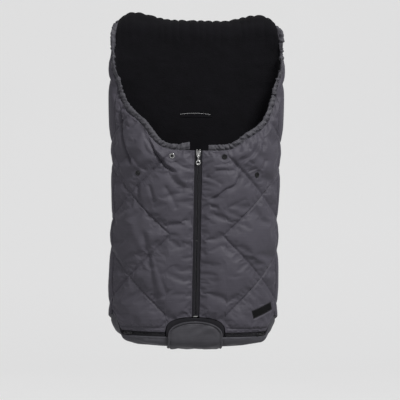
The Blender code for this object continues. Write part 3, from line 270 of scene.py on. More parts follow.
def fine_steps(low: float, high: float, step: float, rim: float, rim_step: float) -> Grid:
    """Return positions from low to high, closer together near both ends.

    Args:
        low: first position.
        high: last position.
        step: usual spacing.
        rim: width of the stretch at each end that has the finer spacing.
        rim_step: spacing there.

    Returns:
        The positions in rising order.
    """
    fine = max(2, round(rim / rim_step)) + 1
    middle = np.linspace(low + rim, high - rim, max(2, round((high - low - 2 * rim) / step)) + 1)
    first, last = np.linspace(low, low + rim, fine), np.linspace(high - rim, high, fine)
    return np.concatenate([first[:-1], middle, last[1:]])


# Helpers for materials


def linear(code: str) -> tuple[float, float, float, float]:
    """Turn an sRGB hex colour into linear values with full alpha."""
    parts = [int(code[place : place + 2], 16) / 255 for place in (0, 2, 4)]
    toned = [part / 12.92 if part <= 0.04045 else ((part + 0.055) / 1.055) ** 2.4 for part in parts]
    return (*toned, 1.0)


def bands(period: float) -> float:
    """Return the Scale at which a Wave texture's bands are this far apart."""
    return 2 * math.pi / 20 / period


def wire(node: Node, values: Values, feeds: Values) -> Node:
    """Set a node's values and feed its inputs.

    Args:
        node: the node.
        values: values by attribute name, or by input name or number.
        feeds: for an input name or number, the node that feeds it, or that node and its output.

    Returns:
        The node.
    """
    for name, value in values.items():
        if isinstance(name, str) and hasattr(node, name):
            setattr(node, name, value)
        else:
            node.inputs[name].default_value = value
    for name, source in feeds.items():
        feed, output = source if isinstance(source, tuple) else (source, 0)
        node.id_data.links.new(feed.outputs[output], node.inputs[name])
    return node


def add(tree: Tree, kind: str, values: Values, feeds: Values) -> Node:
    """Add one shader node of a kind, named without its ShaderNode prefix, and wire it."""
    return wire(tree.nodes.new(f"ShaderNode{kind}"), values, feeds)


@dataclass(frozen=True)
class Finish:
    """A procedural material between two tones, made once and shared by all pieces that have it."""

    name: str
    low: str
    high: str

    def paint(self, tree: Tree, shader: Node) -> None:
        """Build the material's nodes round its Principled shader."""
        raise NotImplementedError

    def coat(self, tree: Tree, shader: Node, tone: Any, feeds: Values, values: Values) -> None:
        """Mix the two tones, and feed and set the shader's own sockets."""
        ends = {"data_type": "RGBA", 6: linear(self.low), 7: linear(self.high)}
        wire(shader, values, {"Base Color": (add(tree, "Mix", ends, {0: tone}), 2), **feeds})

    def material(self) -> bpy.types.Material:
        """Return the material, built at its first use."""
        found = bpy.data.materials.get(self.name)
        if found:
            return found
        made = bpy.data.materials.new(self.name)
        made.use_nodes = True
        self.paint(made.node_tree, made.node_tree.nodes["Principled BSDF"])
        return made

    def cover(self, thing: Thing) -> None:
        """Give a piece this material alone."""
        thing.data.materials.clear()
        thing.data.materials.append(self.material())


@dataclass(frozen=True)
class WovenPolyester(Finish):
    """Plain-woven polyester shell cloth: fine matt yarns with a faint sheen on every ridge of the quilting."""

    # The real yarns lie 0.2 mm apart. They are drawn at 0.8 mm, the finest that still shows close up.
    yarn: float = 0.8 * MM
    patch: float = 45 * MM
    crumple: float = 5.5 * MM
    roughness: float = 0.62

    def paint(self, tree: Tree, shader: Node) -> None:
        """Weave two crossed yarn waves, crumple them a little and vary the dye."""
        cloth = {"Vector": add(tree, "UVMap", {"uv_map": "cloth"}, {})}
        place = {"Vector": (add(tree, "TexCoord", {}, {}), "Object")}
        warp = add(tree, "TexWave", {"bands_direction": "X", "Scale": bands(self.yarn)}, cloth)
        weft = add(tree, "TexWave", {"bands_direction": "Y", "Scale": bands(self.yarn)}, cloth)
        weave = add(tree, "Math", {"operation": "MULTIPLY"}, {0: (warp, "Fac"), 1: (weft, "Fac")})
        crease = add(tree, "TexNoise", {"Scale": 1 / self.crumple, "Detail": 4.0}, place)
        dye = add(tree, "TexNoise", {"Scale": 1 / self.patch, "Detail": 3.0}, place)
        slub = add(tree, "Mapping", {"Scale": (1 / (40 * MM), 1 / (0.9 * MM), 1.0)}, cloth)
        streak = add(tree, "TexNoise", {"Scale": 1.0, "Detail": 2.0}, {"Vector": slub})
        mixed = add(tree, "Math", {"operation": "MULTIPLY_ADD", 1: 0.55}, {0: dye, 2: streak})
        tone = add(tree, "MapRange", {"From Min": 0.45, "From Max": 1.1}, {"Value": mixed})
        gloss = {"To Min": self.roughness - 0.08, "To Max": self.roughness + 0.1}
        rough = add(tree, "MapRange", gloss, {"Value": crease})
        yarns = add(tree, "Bump", {"Strength": 0.35, "Distance": 0.08 * MM}, {"Height": weave})
        folds = add(tree, "Bump", {"Strength": 0.5, "Distance": 0.5 * MM}, {"Height": crease, "Normal": yarns})
        sheen = {"Sheen Weight": 0.12, "Sheen Roughness": 0.45, "Sheen Tint": linear("b9b7c6")}
        feeds = {"Roughness": rough, "Normal": folds}
        self.coat(tree, shader, tone, feeds, {"Specular IOR Level": 0.32, **sheen})


@dataclass(frozen=True)
class PolarFleece(Finish):
    """Brushed polar fleece: short matted pile, so it reads as deep black with a soft bloom along its edges."""

    pill: float = 2.4 * MM
    pile: float = 0.9 * MM

    def paint(self, tree: Tree, shader: Node) -> None:
        """Mat the pile into small pills over a finer nap."""
        place = {"Vector": (add(tree, "TexCoord", {}, {}), "Object")}
        pills = add(tree, "TexVoronoi", {"Scale": 1 / self.pill}, place)
        nap = add(tree, "TexNoise", {"Scale": 1 / self.pile, "Detail": 4.0}, place)
        brushed = add(tree, "TexNoise", {"Scale": 1 / (28 * MM), "Detail": 3.0}, place)
        height = add(tree, "Math", {"operation": "ADD"}, {0: pills, 1: nap})
        bump = add(tree, "Bump", {"Strength": 0.6, "Distance": 0.7 * MM}, {"Height": height})
        values = {"Roughness": 0.95, "Specular IOR Level": 0.06, "Sheen Weight": 0.03, "Sheen Roughness": 0.6}
        self.coat(tree, shader, brushed, {"Normal": bump}, values)


@dataclass(frozen=True)
class WovenTape(Finish):
    """Woven polyester tape: a dense herringbone that stays dull black with fine ribs along its length."""

    rib: float = 1.1 * MM

    def paint(self, tree: Tree, shader: Node) -> None:
        """Rib the tape across and along, with a little lint in its tone."""
        cloth = {"Vector": add(tree, "UVMap", {"uv_map": "cloth"}, {})}
        along = add(tree, "TexWave", {"bands_direction": "X", "Scale": bands(self.rib)}, cloth)
        slant = add(tree, "TexWave", {"bands_direction": "DIAGONAL", "Scale": bands(self.rib)}, cloth)
        lint = add(tree, "TexNoise", {"Scale": 1 / (2.5 * MM), "Detail": 3.0}, cloth)
        weave = add(tree, "Math", {"operation": "ADD"}, {0: (along, "Fac"), 1: (slant, "Fac")})
        bump = add(tree, "Bump", {"Strength": 0.4, "Distance": 0.12 * MM}, {"Height": weave})
        self.coat(tree, shader, lint, {"Normal": bump}, {"Roughness": 0.82, "Specular IOR Level": 0.25})


@dataclass(frozen=True)
class MouldedNylon(Finish):
    """Extruded nylon monofilament: smooth and slightly glossy, so each turn keeps a thin highlight."""

    haze: float = 3 * MM

    def paint(self, tree: Tree, shader: Node) -> None:
        """Haze the gloss where the slider has rubbed."""
        place = {"Vector": (add(tree, "TexCoord", {}, {}), "Object")}
        rub = add(tree, "TexNoise", {"Scale": 1 / self.haze, "Detail": 3.0}, place)
        rough = add(tree, "MapRange", {"To Min": 0.34, "To Max": 0.55}, {"Value": rub})
        self.coat(tree, shader, rub, {"Roughness": rough}, {"IOR": 1.53})


@dataclass(frozen=True)
class PlatedZinc(Finish):
    """Die-cast zinc with a plated or lacquered skin: bright edges, hairline scratches and duller hollows."""

    metallic: float
    roughness: float
    scratch: float = 0.35 * MM
    stain: float = 3.5 * MM

    def paint(self, tree: Tree, shader: Node) -> None:
        """Scratch and stain the plating."""
        place = {"Vector": (add(tree, "TexCoord", {}, {}), "Object")}
        stain = add(tree, "TexNoise", {"Scale": 1 / self.stain, "Detail": 4.0}, place)
        across = 1 / self.scratch
        drawn = add(tree, "Mapping", {"Scale": (across, across, across / 20)}, place)
        hair = add(tree, "TexNoise", {"Scale": 1.0, "Detail": 2.0}, {"Vector": drawn})
        gloss = {"To Min": self.roughness, "To Max": self.roughness + 0.22}
        rough = add(tree, "MapRange", gloss, {"Value": stain})
        bump = add(tree, "Bump", {"Strength": 0.2, "Distance": 0.03 * MM}, {"Height": hair})
        self.coat(tree, shader, stain, {"Roughness": rough, "Normal": bump}, {"Metallic": self.metallic})


@dataclass(frozen=True)
class DamaskLabel(Finish):
    """Damask-woven label ribbon: a dense satin face with a faint cross rib and no word on it."""

    rib: float = 0.7 * MM

    def paint(self, tree: Tree, shader: Node) -> None:
        """Rib the satin across the ribbon."""
        cloth = {"Vector": add(tree, "UVMap", {"uv_map": "cloth"}, {})}
        rib = add(tree, "TexWave", {"bands_direction": "Y", "Scale": bands(self.rib)}, cloth)
        lint = add(tree, "TexNoise", {"Scale": 1 / (1.5 * MM), "Detail": 3.0}, cloth)
        bump = add(tree, "Bump", {"Strength": 0.4, "Distance": 0.08 * MM}, {"Height": (rib, "Fac")})
        self.coat(tree, shader, lint, {"Normal": bump}, {"Roughness": 0.7, "Specular IOR Level": 0.14})


@dataclass(frozen=True)
class HookLoopPile(Finish):
    """Hook-and-loop fastener tape: a rough bristly pile that swallows the light."""

    tuft: float = 1.0 * MM

    def paint(self, tree: Tree, shader: Node) -> None:
        """Raise the tufts from the ground knit."""
        place = {"Vector": (add(tree, "TexCoord", {}, {}), "Object")}
        tufts = add(tree, "TexVoronoi", {"Scale": 1 / self.tuft}, place)
        bump = add(tree, "Bump", {"Strength": 0.9, "Distance": 0.5 * MM}, {"Height": tufts})
        self.coat(tree, shader, tufts, {"Normal": bump}, {"Roughness": 0.95})


@dataclass(frozen=True)
class SpunThread(Finish):
    """Twisted polyester sewing thread: darker than the cloth, with a soft glint on its raised loops."""

    twist: float = 0.7 * MM

    def paint(self, tree: Tree, shader: Node) -> None:
        """Twist the plies with a slanting wave."""
        place = {"Vector": (add(tree, "TexCoord", {}, {}), "Object")}
        wave = add(tree, "TexWave", {"bands_direction": "DIAGONAL", "Scale": bands(self.twist)}, place)
        ply = (wave, "Fac")
        bump = add(tree, "Bump", {"Strength": 0.5, "Distance": 0.1 * MM}, {"Height": ply})
        self.coat(tree, shader, ply, {"Normal": bump}, {"Roughness": 0.55})


@dataclass(frozen=True)
class StudioPaint(Finish):
    """Matt emulsion on the studio's floor and backdrop, shown a set tone to the camera and to reflections."""

    glow: float = 0.58
    mottle: float = 0.5

    def paint(self, tree: Tree, shader: Node) -> None:
        """Mottle the paint very slightly, and lift its tone where it is seen, mirrored or looked through."""
        ray = add(tree, "LightPath", {}, {})
        most = {"operation": "MAXIMUM"}
        first = add(tree, "Math", most, {0: (ray, "Is Camera Ray"), 1: (ray, "Is Glossy Ray")})
        seen = add(tree, "Math", most, {0: first, 1: (ray, "Is Transmission Ray")})
        lift = add(tree, "Math", {"operation": "MULTIPLY", 1: self.glow}, {0: seen})
        place = {"Vector": (add(tree, "TexCoord", {}, {}), "Object")}
        cloud = add(tree, "TexNoise", {"Scale": 1 / self.mottle, "Detail": 1.0}, place)
        values = {"Emission Color": (1.0, 1.0, 1.0, 1.0), "Roughness": 0.9}
        self.coat(tree, shader, cloud, {"Emission Strength": lift}, values)


SHELL = WovenPolyester("charcoal_shell_polyester_woven", "403e46", "4e4b54")
CASING = WovenPolyester("charcoal_casing_polyester_gathered", "3e3d43", "4e4d52", crumple=3 * MM)
FLAP = WovenPolyester("charcoal_flap_polyester_woven", "39383d", "49484d", crumple=7 * MM)
FLEECE = PolarFleece("black_polar_fleece_brushed", "0d0d0f", "151418")
TAPE = WovenTape("black_zip_tape_woven", "1a191d", "242328")
COIL = MouldedNylon("black_nylon_coil_extruded", "201f24", "2b2a30")
NICKEL = PlatedZinc("nickel_plated_zinc_cast", "dcdcdb", "a6a6a4", 1.0, 0.14)
BLACK_METAL = PlatedZinc("black_lacquered_zinc_cast", "0b0b0d", "1a1a1d", 0.3, 0.3)
LABEL = DamaskLabel("black_label_damask_woven", "060607", "0c0c0e")
PILE = HookLoopPile("black_hook_and_loop_knitted", "19191b", "2a2a2d")
THREAD = SpunThread("charcoal_sewing_thread_spun", "232228", "3a3940")
PALE_THREAD = SpunThread("grey_sewing_thread_spun", "29282d", "3a3940")
PAINT = StudioPaint("studio_emulsion_matt", "a0a0a0", "a6a6a6")


class Slot(Enum):
    """The record's material slots that new pieces take their finish from."""

    SHELL = "shell_fabric"
    CASING = "casing_fabric"
    FLAP = "flap_fabric"
    FLEECE = "fleece"
    TAPE = "tape"
    COIL = "coil"
    NICKEL = "nickel"
    BLACK_METAL = "black_metal"
    LABEL = "label"
    PILE = "hook_loop"


NODE_FINISHES = {
    Slot.SHELL.value: SHELL,
    Slot.CASING.value: CASING,
    Slot.FLAP.value: FLAP,
    Slot.FLEECE.value: FLEECE,
    "wadding": FLEECE,
    Slot.TAPE.value: TAPE,
    Slot.COIL.value: COIL,
    "elastic": TAPE,
    Slot.NICKEL.value: NICKEL,
    Slot.BLACK_METAL.value: BLACK_METAL,
    Slot.LABEL.value: LABEL,
    Slot.PILE.value: PILE,
}


class Side(Enum):
    """The side of the muff, as seen from the front: its sign along X."""

    LEFT = -1
    RIGHT = 1

    @property
    def word(self) -> str:
        """Return the side's name in lower case."""
        return self.name.lower()


# Helpers for meshes


def link_mesh(name: str, points: Grid, faces: list[tuple[int, ...]], finish: Finish) -> Thing:
    """Make a smooth-shaded mesh object from points and faces, in the world's place."""
    mesh = bpy.data.meshes.new(name)
    mesh.from_pydata(np.asarray(points, float).reshape(-1, 3).tolist(), [], faces)
    mesh.materials.append(finish.material())
    mesh.shade_smooth()
    thing = bpy.data.objects.new(name, mesh)
    bpy.context.scene.collection.objects.link(thing)
    return thing


def set_cloth_map(thing: Thing, spread: Grid) -> None:
    """Give a mesh the UV map that its weave follows, one place in metres to each vertex."""
    mesh = thing.data
    layer = mesh.uv_layers.new(name="cloth")
    corner = np.empty(len(mesh.loops), dtype=np.int32)
    mesh.loops.foreach_get("vertex_index", corner)
    layer.data.foreach_set("uv", np.asarray(spread, np.float32)[corner].ravel())


def points_inward(points: Grid, quads: Grid) -> bool:
    """Return whether the faces round a closed shape point inwards."""
    a, b, c, d = (points[column] for column in quads.T)
    return float((a * np.cross(b, c)).sum() + (a * np.cross(c, d)).sum()) < 0


def closed_sheet(
    name: str, outer: Grid, inner: Grid, spread: Grid, finish: Finish, cells: Grid | None = None
) -> Thing:
    """Join two grids of points into one closed sheet.

    Args:
        name: the piece's name.
        outer: the outer face's points, in rows and columns.
        inner: the inner face's points, in the same rows and columns.
        spread: each point's place on the flat cloth, in metres.
        finish: the cloth.
        cells: for each cell whether it is there; all are when it is left out.

    Returns:
        The closed sheet, with its faces pointing out.
    """
    rows, columns = outer.shape[:2]
    if cells is None:
        cells = np.ones((rows - 1, columns - 1), bool)
    below = rows * columns
    number = np.arange(below).reshape(rows, columns)
    corners = number[:-1, :-1], number[:-1, 1:], number[1:, 1:], number[1:, :-1]
    top = np.stack([corner[cells] for corner in corners], 1)
    quads = [top, top[:, ::-1] + below]
    framed = np.pad(cells, 1)
    beyond = framed[:-2, 1:-1], framed[1:-1, 2:], framed[2:, 1:-1], framed[1:-1, :-2]
    for side in range(4):
        open_edge = cells & ~beyond[side]
        first, last = corners[side][open_edge], corners[(side + 1) % 4][open_edge]
        quads.append(np.stack([last, first, first + below, last + below], 1))
    faces = np.concatenate(quads)
    points = np.concatenate([outer.reshape(-1, 3), inner.reshape(-1, 3)])
    flat = np.concatenate([spread.reshape(-1, 2)] * 2)
    used = np.unique(faces)
    faces = np.searchsorted(used, faces)
    points, flat = points[used], flat[used]
    if points_inward(points, faces):
        faces = faces[:, ::-1]
    thing = link_mesh(name, points, faces.tolist(), finish)
    set_cloth_map(thing, flat)
    return thing


def face_normals(grid: Grid) -> Grid:
    """Return the unit normal at each point of a grid, by the right-hand rule of rows over columns."""
    return unit(np.cross(np.gradient(grid, axis=0), np.gradient(grid, axis=1)))


def swept_tube(name: str, rings: Grid, spread: Grid, finish: Finish) -> Thing:
    """Join rings of points (ring, side, 3) into a closed shape, with its end rings filled."""
    count, sides = rings.shape[:2]
    number = np.arange(count * sides).reshape(count, sides)
    after = np.roll(number, -1, axis=1)
    quads = np.stack([number[:-1], after[:-1], after[1:], number[1:]], -1).reshape(-1, 4)
    points = np.concatenate([rings.reshape(-1, 3), rings[[0, -1]].mean(axis=1)])
    start, end = count * sides, count * sides + 1
    faces = quads.tolist()
    faces += [(start, int(after[0, side]), int(number[0, side])) for side in range(sides)]
    faces += [(end, int(number[-1, side]), int(after[-1, side])) for side in range(sides)]
    if points_inward(points, quads):
        faces = [face[::-1] for face in faces]
    thing = link_mesh(name, points, faces, finish)
    set_cloth_map(thing, np.concatenate([spread.reshape(-1, 2), spread[0, :1], spread[-1, :1]]))
    return thing


def closed_bowl(name: str, outer: Grid, inner: Grid, spread: Grid, finish: Finish) -> Thing:
    """Join two bowls of rings, rim first, into one closed shell, as a tube that runs from inside to outside."""
    rings = np.concatenate([inner[::-1], outer])
    return swept_tube(name, rings, np.concatenate([spread[::-1], spread]), finish)


def ring_normals(rings: Grid) -> Grid:
    """Return the unit normals, pointing down and out, of rings of points that close on themselves."""
    wrapped = np.concatenate([rings[:, -1:], rings, rings[:, :1]], axis=1)
    normals = face_normals(wrapped)[:, 1:-1]
    return normals * (-1.0 if normals[-1, :, 2].mean() > 0 else 1.0)


def smoothed(grid: Grid) -> Grid:
    """Return a grid of numbers, each averaged with its neighbours."""
    wide = np.pad(grid, 1, mode="edge")
    return sum(wide[a : a + grid.shape[0], b : b + grid.shape[1]] for a in range(3) for b in range(3)) / 9


def choose(thing: Thing) -> None:
    """Select one piece alone and make it the active one."""
    bpy.ops.object.select_all(action="DESELECT")
    thing.select_set(True)
    bpy.context.view_layer.objects.active = thing


def bevelled(thing: Thing, width: float, segments: int, angle: float) -> None:
    """Round the edges of the active piece over, and smooth it up to an angle in degrees."""
    bevel = thing.modifiers.new("rounding", "BEVEL")
    bevel.width = width
    bevel.segments = segments
    bevel.limit_method = "ANGLE"
    bpy.ops.object.modifier_apply(modifier=bevel.name)
    bpy.ops.object.shade_smooth_by_angle(angle=math.radians(angle))


def rounded_copy(node: str, body: str, slot: Slot, rounding: float) -> Thing:
    """Copy a metal node, merge its loose triangles and round its edges, as a cast piece has them.

    Args:
        node: the node that the copy stands for.
        body: the body that it rides on.
        slot: its material slot.
        rounding: width of the rounding.

    Returns:
        The rounded copy.
    """
    thing = bpy.data.objects.new(f"{node}_rounded", frame["nodes"][node].data.copy())
    bpy.context.scene.collection.objects.link(thing)
    choose(thing)
    bpy.ops.object.mode_set(mode="EDIT")
    bpy.ops.mesh.select_all(action="SELECT")
    bpy.ops.mesh.remove_doubles(threshold=0.01 * MM)
    bpy.ops.mesh.dissolve_limited(angle_limit=math.radians(1))
    bpy.ops.object.mode_set(mode="OBJECT")
    bevelled(thing, rounding, 2, 40)
    NODE_FINISHES[slot.value].cover(thing)
    return settle(thing, body, slot, (node,))


def settle(
    thing: Thing,
    body: str,
    slot: Slot | None = None,
    stands_for: Iterable[str] = (),
    bend: tuple[Vector, Vector] | None = None,
) -> Thing:
    """Let a piece ride on its body, name its slot and the nodes that it stands for, and report it.

    Args:
        thing: the piece.
        body: the body that it rides on.
        slot: its material slot.
        stands_for: the nodes that it stands for.
        bend: for cloth sewn to the back, where it starts to leave it and where it is wholly on its body.

    Returns:
        The piece.
    """
    if bend:
        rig.blend(thing, "back_and_foot", body, *bend)
    else:
        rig.ride(thing, body)
    names = list(stands_for)
    if slot:
        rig.slot(thing, slot.value)
    if names:
        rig.replaces(thing, *names)
    LOG.info("%s rides on %s and stands for %s", thing.name, body, ", ".join(names) or "nothing")
    return thing


def cloth_area(thing: Thing) -> float:
    """Return the area of one face of a closed sheet, in square metres."""
    return sum(face.area for face in thing.data.polygons) / 2


def declare(thing: Thing, wide: float, tall: float, held: str) -> Thing:
    """Declare a cut sheet, whose cloth fills no more than its flat width times its height."""
    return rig.sheet(thing, flat=(wide, tall), held=held, area=min(cloth_area(thing), wide * tall))


def stitch_row(name: str, points: Grid, outs: Grid, finish: Finish, pitch: float = 3.2 * MM) -> Thing:
    """Lay a row of stitches along points, each a small lozenge of thread sunk at both ends.

    Args:
        name: the piece's name.
        points: the seam's points, close together. A jump of over three pitches starts a new seam.
        outs: the cloth's unit normals there.
        finish: the thread.
        pitch: distance from one stitch to the next.

    Returns:
        One mesh with all of the row's stitches.
    """
    travel = travelled(points)
    starts = np.arange(pitch / 2, travel[-1] - pitch / 2, pitch)
    jump = np.diff(travel) > 3 * pitch
    keep = np.ones(len(starts), bool)
    for low, high in zip(travel[:-1][jump], travel[1:][jump]):
        keep &= (starts < low - pitch) | (starts > high + pitch)
    starts = starts[keep]
    looks = ((starts, points), (starts + pitch / 2, points), (starts, outs))
    here, ahead, out = (
        np.stack([np.interp(where, travel, values[:, axis]) for axis in range(3)], 1) for where, values in looks
    )
    out = unit(out)
    along = unit(ahead - here)
    aside = np.cross(along, out)
    half, thick = 0.36 * pitch, 0.28 * MM
    rings = []
    for place, width in ((-1.0, 0.35), (-0.5, 1.0), (0.5, 1.0), (1.0, 0.35)):
        middle = here + along * (half * place) + out * (thick * (0.75 if abs(place) < 1 else -0.4))
        spokes = (aside, out, -aside, -out)
        rings.append(np.stack([middle + spoke * (thick * width) for spoke in spokes], 1))
    pattern = [(0, 1, 2, 3), (15, 14, 13, 12)]
    for low in (0, 4, 8):
        pattern += [(low + 4 + a, low + 4 + b, low + b, low + a) for a, b in ((0, 1), (1, 2), (2, 3), (3, 0))]
    faces = np.arange(len(here))[:, None, None] * 16 + np.array(pattern)
    return link_mesh(name, np.stack(rings, 1), faces.reshape(-1, 4).tolist(), finish)


# Shape of the cloth


@dataclass(frozen=True)
class DoorFace:
    """The outer face of a door: flat beside the zip, then round to the side seam."""

    flat_half: float = 50 * MM
    front: float = -135 * MM
    seam_x: float = 168 * MM
    seam_y: float = -75 * MM
    zip_edge: float = 8 * MM
    neck_low: float = -240 * MM
    neck_rise: float = 118 * MM
    neck_power: float = 4.0
    neck_waves: tuple[tuple[float, float, float], ...] = ()
    foot: float = -612.5 * MM
    corner_rise: float = 30 * MM
    corner_start: float = 157 * MM
    arch_half: float = 62 * MM
    arch_rise: float = 28.5 * MM
    arch_power: float = 2.6
    hinge_reach: float = 12 * MM

    @property
    def radius(self) -> float:
        """Return the radius of the door's round part in plan."""
        across, deep = self.seam_x - self.flat_half, self.seam_y - self.front
        return (across**2 + deep**2) / (2 * deep)

    @property
    def seam_angle(self) -> float:
        """Return the angle through which the round part turns."""
        return math.asin((self.seam_x - self.flat_half) / self.radius)

    @property
    def seam(self) -> float:
        """Return the girth from the zip's middle to the side seam."""
        return self.flat_half + self.radius * self.seam_angle

    def plan(self, girth: Grid) -> tuple[Grid, Grid]:
        """Return the outer face's points in plan and its unit normals, both with three values."""
        girth = np.asarray(girth, float)
        angle = np.maximum(girth - self.flat_half, 0.0) / self.radius
        out = np.stack([np.sin(angle), -np.cos(angle), np.zeros_like(angle)], -1)
        x = np.minimum(girth, self.flat_half) + out[..., 0] * self.radius
        y = self.front + self.radius + out[..., 1] * self.radius
        return np.stack([x, y, np.zeros_like(x)], -1), out

    def hinge(self, side: Side) -> tuple[Vector, Vector]:
        """Return the stretch beside the side seam over which a door's cloth bends as the door opens."""
        girth = np.array((self.seam, self.seam - self.hinge_reach))
        start, end = self.place(side, girth, np.full(2, self.neck_low), np.zeros(2))
        return Vector(start), Vector(end)

    def height_of(self, point: Vector) -> float:
        """Return how far a point stands out from the face."""
        x = abs(point.x)
        if x <= self.flat_half:
            return self.front - point.y
        return math.hypot(x - self.flat_half, point.y - self.front - self.radius) - self.radius

    def girth_at(self, x: float) -> float:
        """Return the girth at a distance from the middle."""
        if x <= self.flat_half:
            return x
        return self.flat_half + self.radius * math.asin((x - self.flat_half) / self.radius)

    def neck(self, girth: Grid) -> Grid:
        """Return the height of the top edge, with the waves (place, half width, lift) of the hanging cloth."""
        x = self.plan(girth)[0][..., 0]
        level = self.neck_low + self.neck_rise * (x / self.seam_x) ** self.neck_power
        for place, half, lift in self.neck_waves:
            level = level + lift * np.exp(-(((x - place) / half) ** 2))
        return level

    def arch(self, x: Grid) -> Grid:
        """Return the height of the cut-out over the tongue, above the foot."""
        share = np.minimum(1.0, np.abs(x) / self.arch_half)
        return self.arch_rise * (1 - share**self.arch_power) ** (1 / self.arch_power)

    def foot_edge(self, girth: Grid) -> Grid:
        """Return the height of the bottom edge."""
        corner = ease((girth - self.corner_start) / (self.seam - self.corner_start))
        return self.foot + self.arch(girth) + self.corner_rise * corner

    def rim_distance(self, girth: Grid, z: Grid, seam_lift: float = 0.0) -> Grid:
        """Return how far a point is from the door's nearest edge.

        Args:
            girth: the points' girths.
            z: their heights.
            seam_lift: length by which the side seam counts as further away, where it counts less than an edge.
        """
        x, h = np.abs(girth) / self.arch_half, np.maximum(z - self.foot, 0.0) / self.arch_rise
        power = self.arch_power
        level = np.maximum((x**power + h**power) ** (1 / power), 1e-9)
        slope_x = (x / level) ** (power - 1) / self.arch_half
        slope_h = (h / level) ** (power - 1) / self.arch_rise
        arch = (level - 1) / np.sqrt(slope_x**2 + slope_h**2 + 1e-9)
        foot = np.where(girth > self.arch_half, z - self.foot_edge(girth), 1.0)
        away = np.where(girth > self.arch_half, np.hypot(girth - self.arch_half, z - self.foot), arch)
        lowest = np.minimum(np.maximum(arch, 0.0), away)
        seam = (self.seam - girth) * (3 if seam_lift else 1) + seam_lift
        return np.minimum.reduce([girth - self.zip_edge, seam, foot, lowest, self.neck(girth) - z])

    def place(self, side: Side, girth: Grid, z: Grid, depth: Grid) -> Grid:
        """Return the points at a depth under the outer face."""
        plan, out = self.plan(girth)
        points = plan - out * np.asarray(depth)[..., None]
        points[..., 0] *= side.value
        points[..., 2] = z
        return points


@dataclass(frozen=True)
class Fold:
    """A crease in the cloth along a few chosen points (girth, height), in millimetres.

    A trough or a ridge has one sign all across. A lapped fold is raised on one side of its line and sunk on
    the other.
    """

    points: tuple[tuple[float, float], ...]
    lift: float
    width: float
    lapped: float = 0.0
    sharp: float = 0.2
    core: float = 2.3

    def measure(self, girth: Grid, z: Grid) -> tuple[Grid, Grid, Grid]:
        """Return the distance to the fold's line, the same with a sign for its side, and the share along it."""
        knots = np.array(self.points) * MM
        share = np.linspace(0.0, 1.0, len(knots))
        fine = np.linspace(0.0, 1.0, 6 * len(knots))
        line = np.stack([np.interp(fine, share, knots[:, axis]) for axis in (0, 1)], 1)
        for _ in range(4):
            line[1:-1] = (line[:-2] + 2 * line[1:-1] + line[2:]) / 4
        best, signed, along = np.full(girth.shape, 1e9), np.zeros(girth.shape), np.zeros(girth.shape)
        for place, (low, high) in enumerate(zip(line, line[1:])):
            run = high - low
            span = max(float(run @ run), 1e-12)
            t = np.clip(((girth - low[0]) * run[0] + (z - low[1]) * run[1]) / span, 0.0, 1.0)
            du, dz = girth - low[0] - t * run[0], z - low[1] - t * run[1]
            far = np.hypot(du, dz)
            nearer = far < best
            best = np.where(nearer, far, best)
            signed = np.where(nearer, (run[0] * dz - run[1] * du) / math.sqrt(span), signed)
            along = np.where(nearer, (place + t) / (len(line) - 1), along)
        return best, signed, along

    def height(self, girth: Grid, z: Grid) -> Grid:
        """Return how far the fold lifts the cloth at each point."""
        best, signed, along = self.measure(girth, z)
        ends = ease(along, 140) * ease(1 - along, 140)
        wave, core = bell(best, self.width), bell(best, self.core)
        lap = np.clip(signed / (self.width * MM), -3, 3) * wave * 1.6
        depth = (1 - 0.5 * self.sharp) * wave + 0.9 * self.sharp * core if self.lift < 0 else wave
        return (self.lift * depth + self.lapped * lap - self.sharp * abs(self.lapped) * core) * ends * MM


@dataclass(frozen=True)
class Quilting:
    """Diamond quilting: two families of straight stitch lines with the wadding swelling between them."""

    half: float = 88 * MM
    rise: float = 86 * MM
    girth: float = 142.5 * MM
    level: float = -330 * MM
    crown: float = 6.6 * MM
    soft: float = 0.5
    bite: float = 1.9
    plain: float = 50 * MM
    blend: float = 24

    @property
    def spacing(self) -> float:
        """Return the distance between two parallel stitch lines."""
        return self.half * self.rise / math.hypot(self.half, self.rise)

    def shares(self, girth: Grid, z: Grid) -> tuple[Grid, Grid, Grid, Grid]:
        """Return the share of the way from each family's line to the next, and the place along each line."""
        across = (girth - self.girth) / self.half
        up = (z - self.level) / self.rise
        falling = np.abs((across - up + 1) % 2 - 1)
        rising = np.abs((across + up + 1) % 2 - 1)
        return falling, rising, across + up, across - up

    def reach(self, girth: Grid) -> Grid:
        """Return the strength of the quilting, which fades out towards the zip."""
        return ease(np.asarray(girth) - self.plain, self.blend)

    def distance(self, girth: Grid, z: Grid) -> Grid:
        """Return the distance to the nearest stitch line, counted as further away where the lines fade."""
        falling, rising, _, _ = self.shares(girth, z)
        return np.minimum(falling, rising) * self.spacing + (1 - self.reach(girth)) * 12 * MM

    def height(self, girth: Grid, z: Grid) -> Grid:
        """Return the swell of the cloth over its stitch lines, puckered where the thread pulls it."""
        falling, rising, along_falling, along_rising = self.shares(girth, z)
        nearest = np.minimum(falling, rising)
        swell = 1 - (1 - np.minimum(1.0, nearest / self.soft)) ** 2
        near = nearest * self.spacing
        sharp = 1 - fall(near, self.bite)
        reach = self.reach(girth)
        height = self.crown * ((0.58 * swell + 0.42 * sharp) * reach + 0.72 * (1 - reach))
        along = np.where(falling < rising, along_falling, along_rising) * self.spacing
        pucker = noise(11, along / (7.5 * MM), near / (16 * MM) + 3)
        pucker = pucker + 0.5 * noise(12, along / (4 * MM), near / (9 * MM) + 7)
        return height + 1.2 * MM * pucker * fall(near, 9) * (0.35 + 0.65 * sharp) * reach


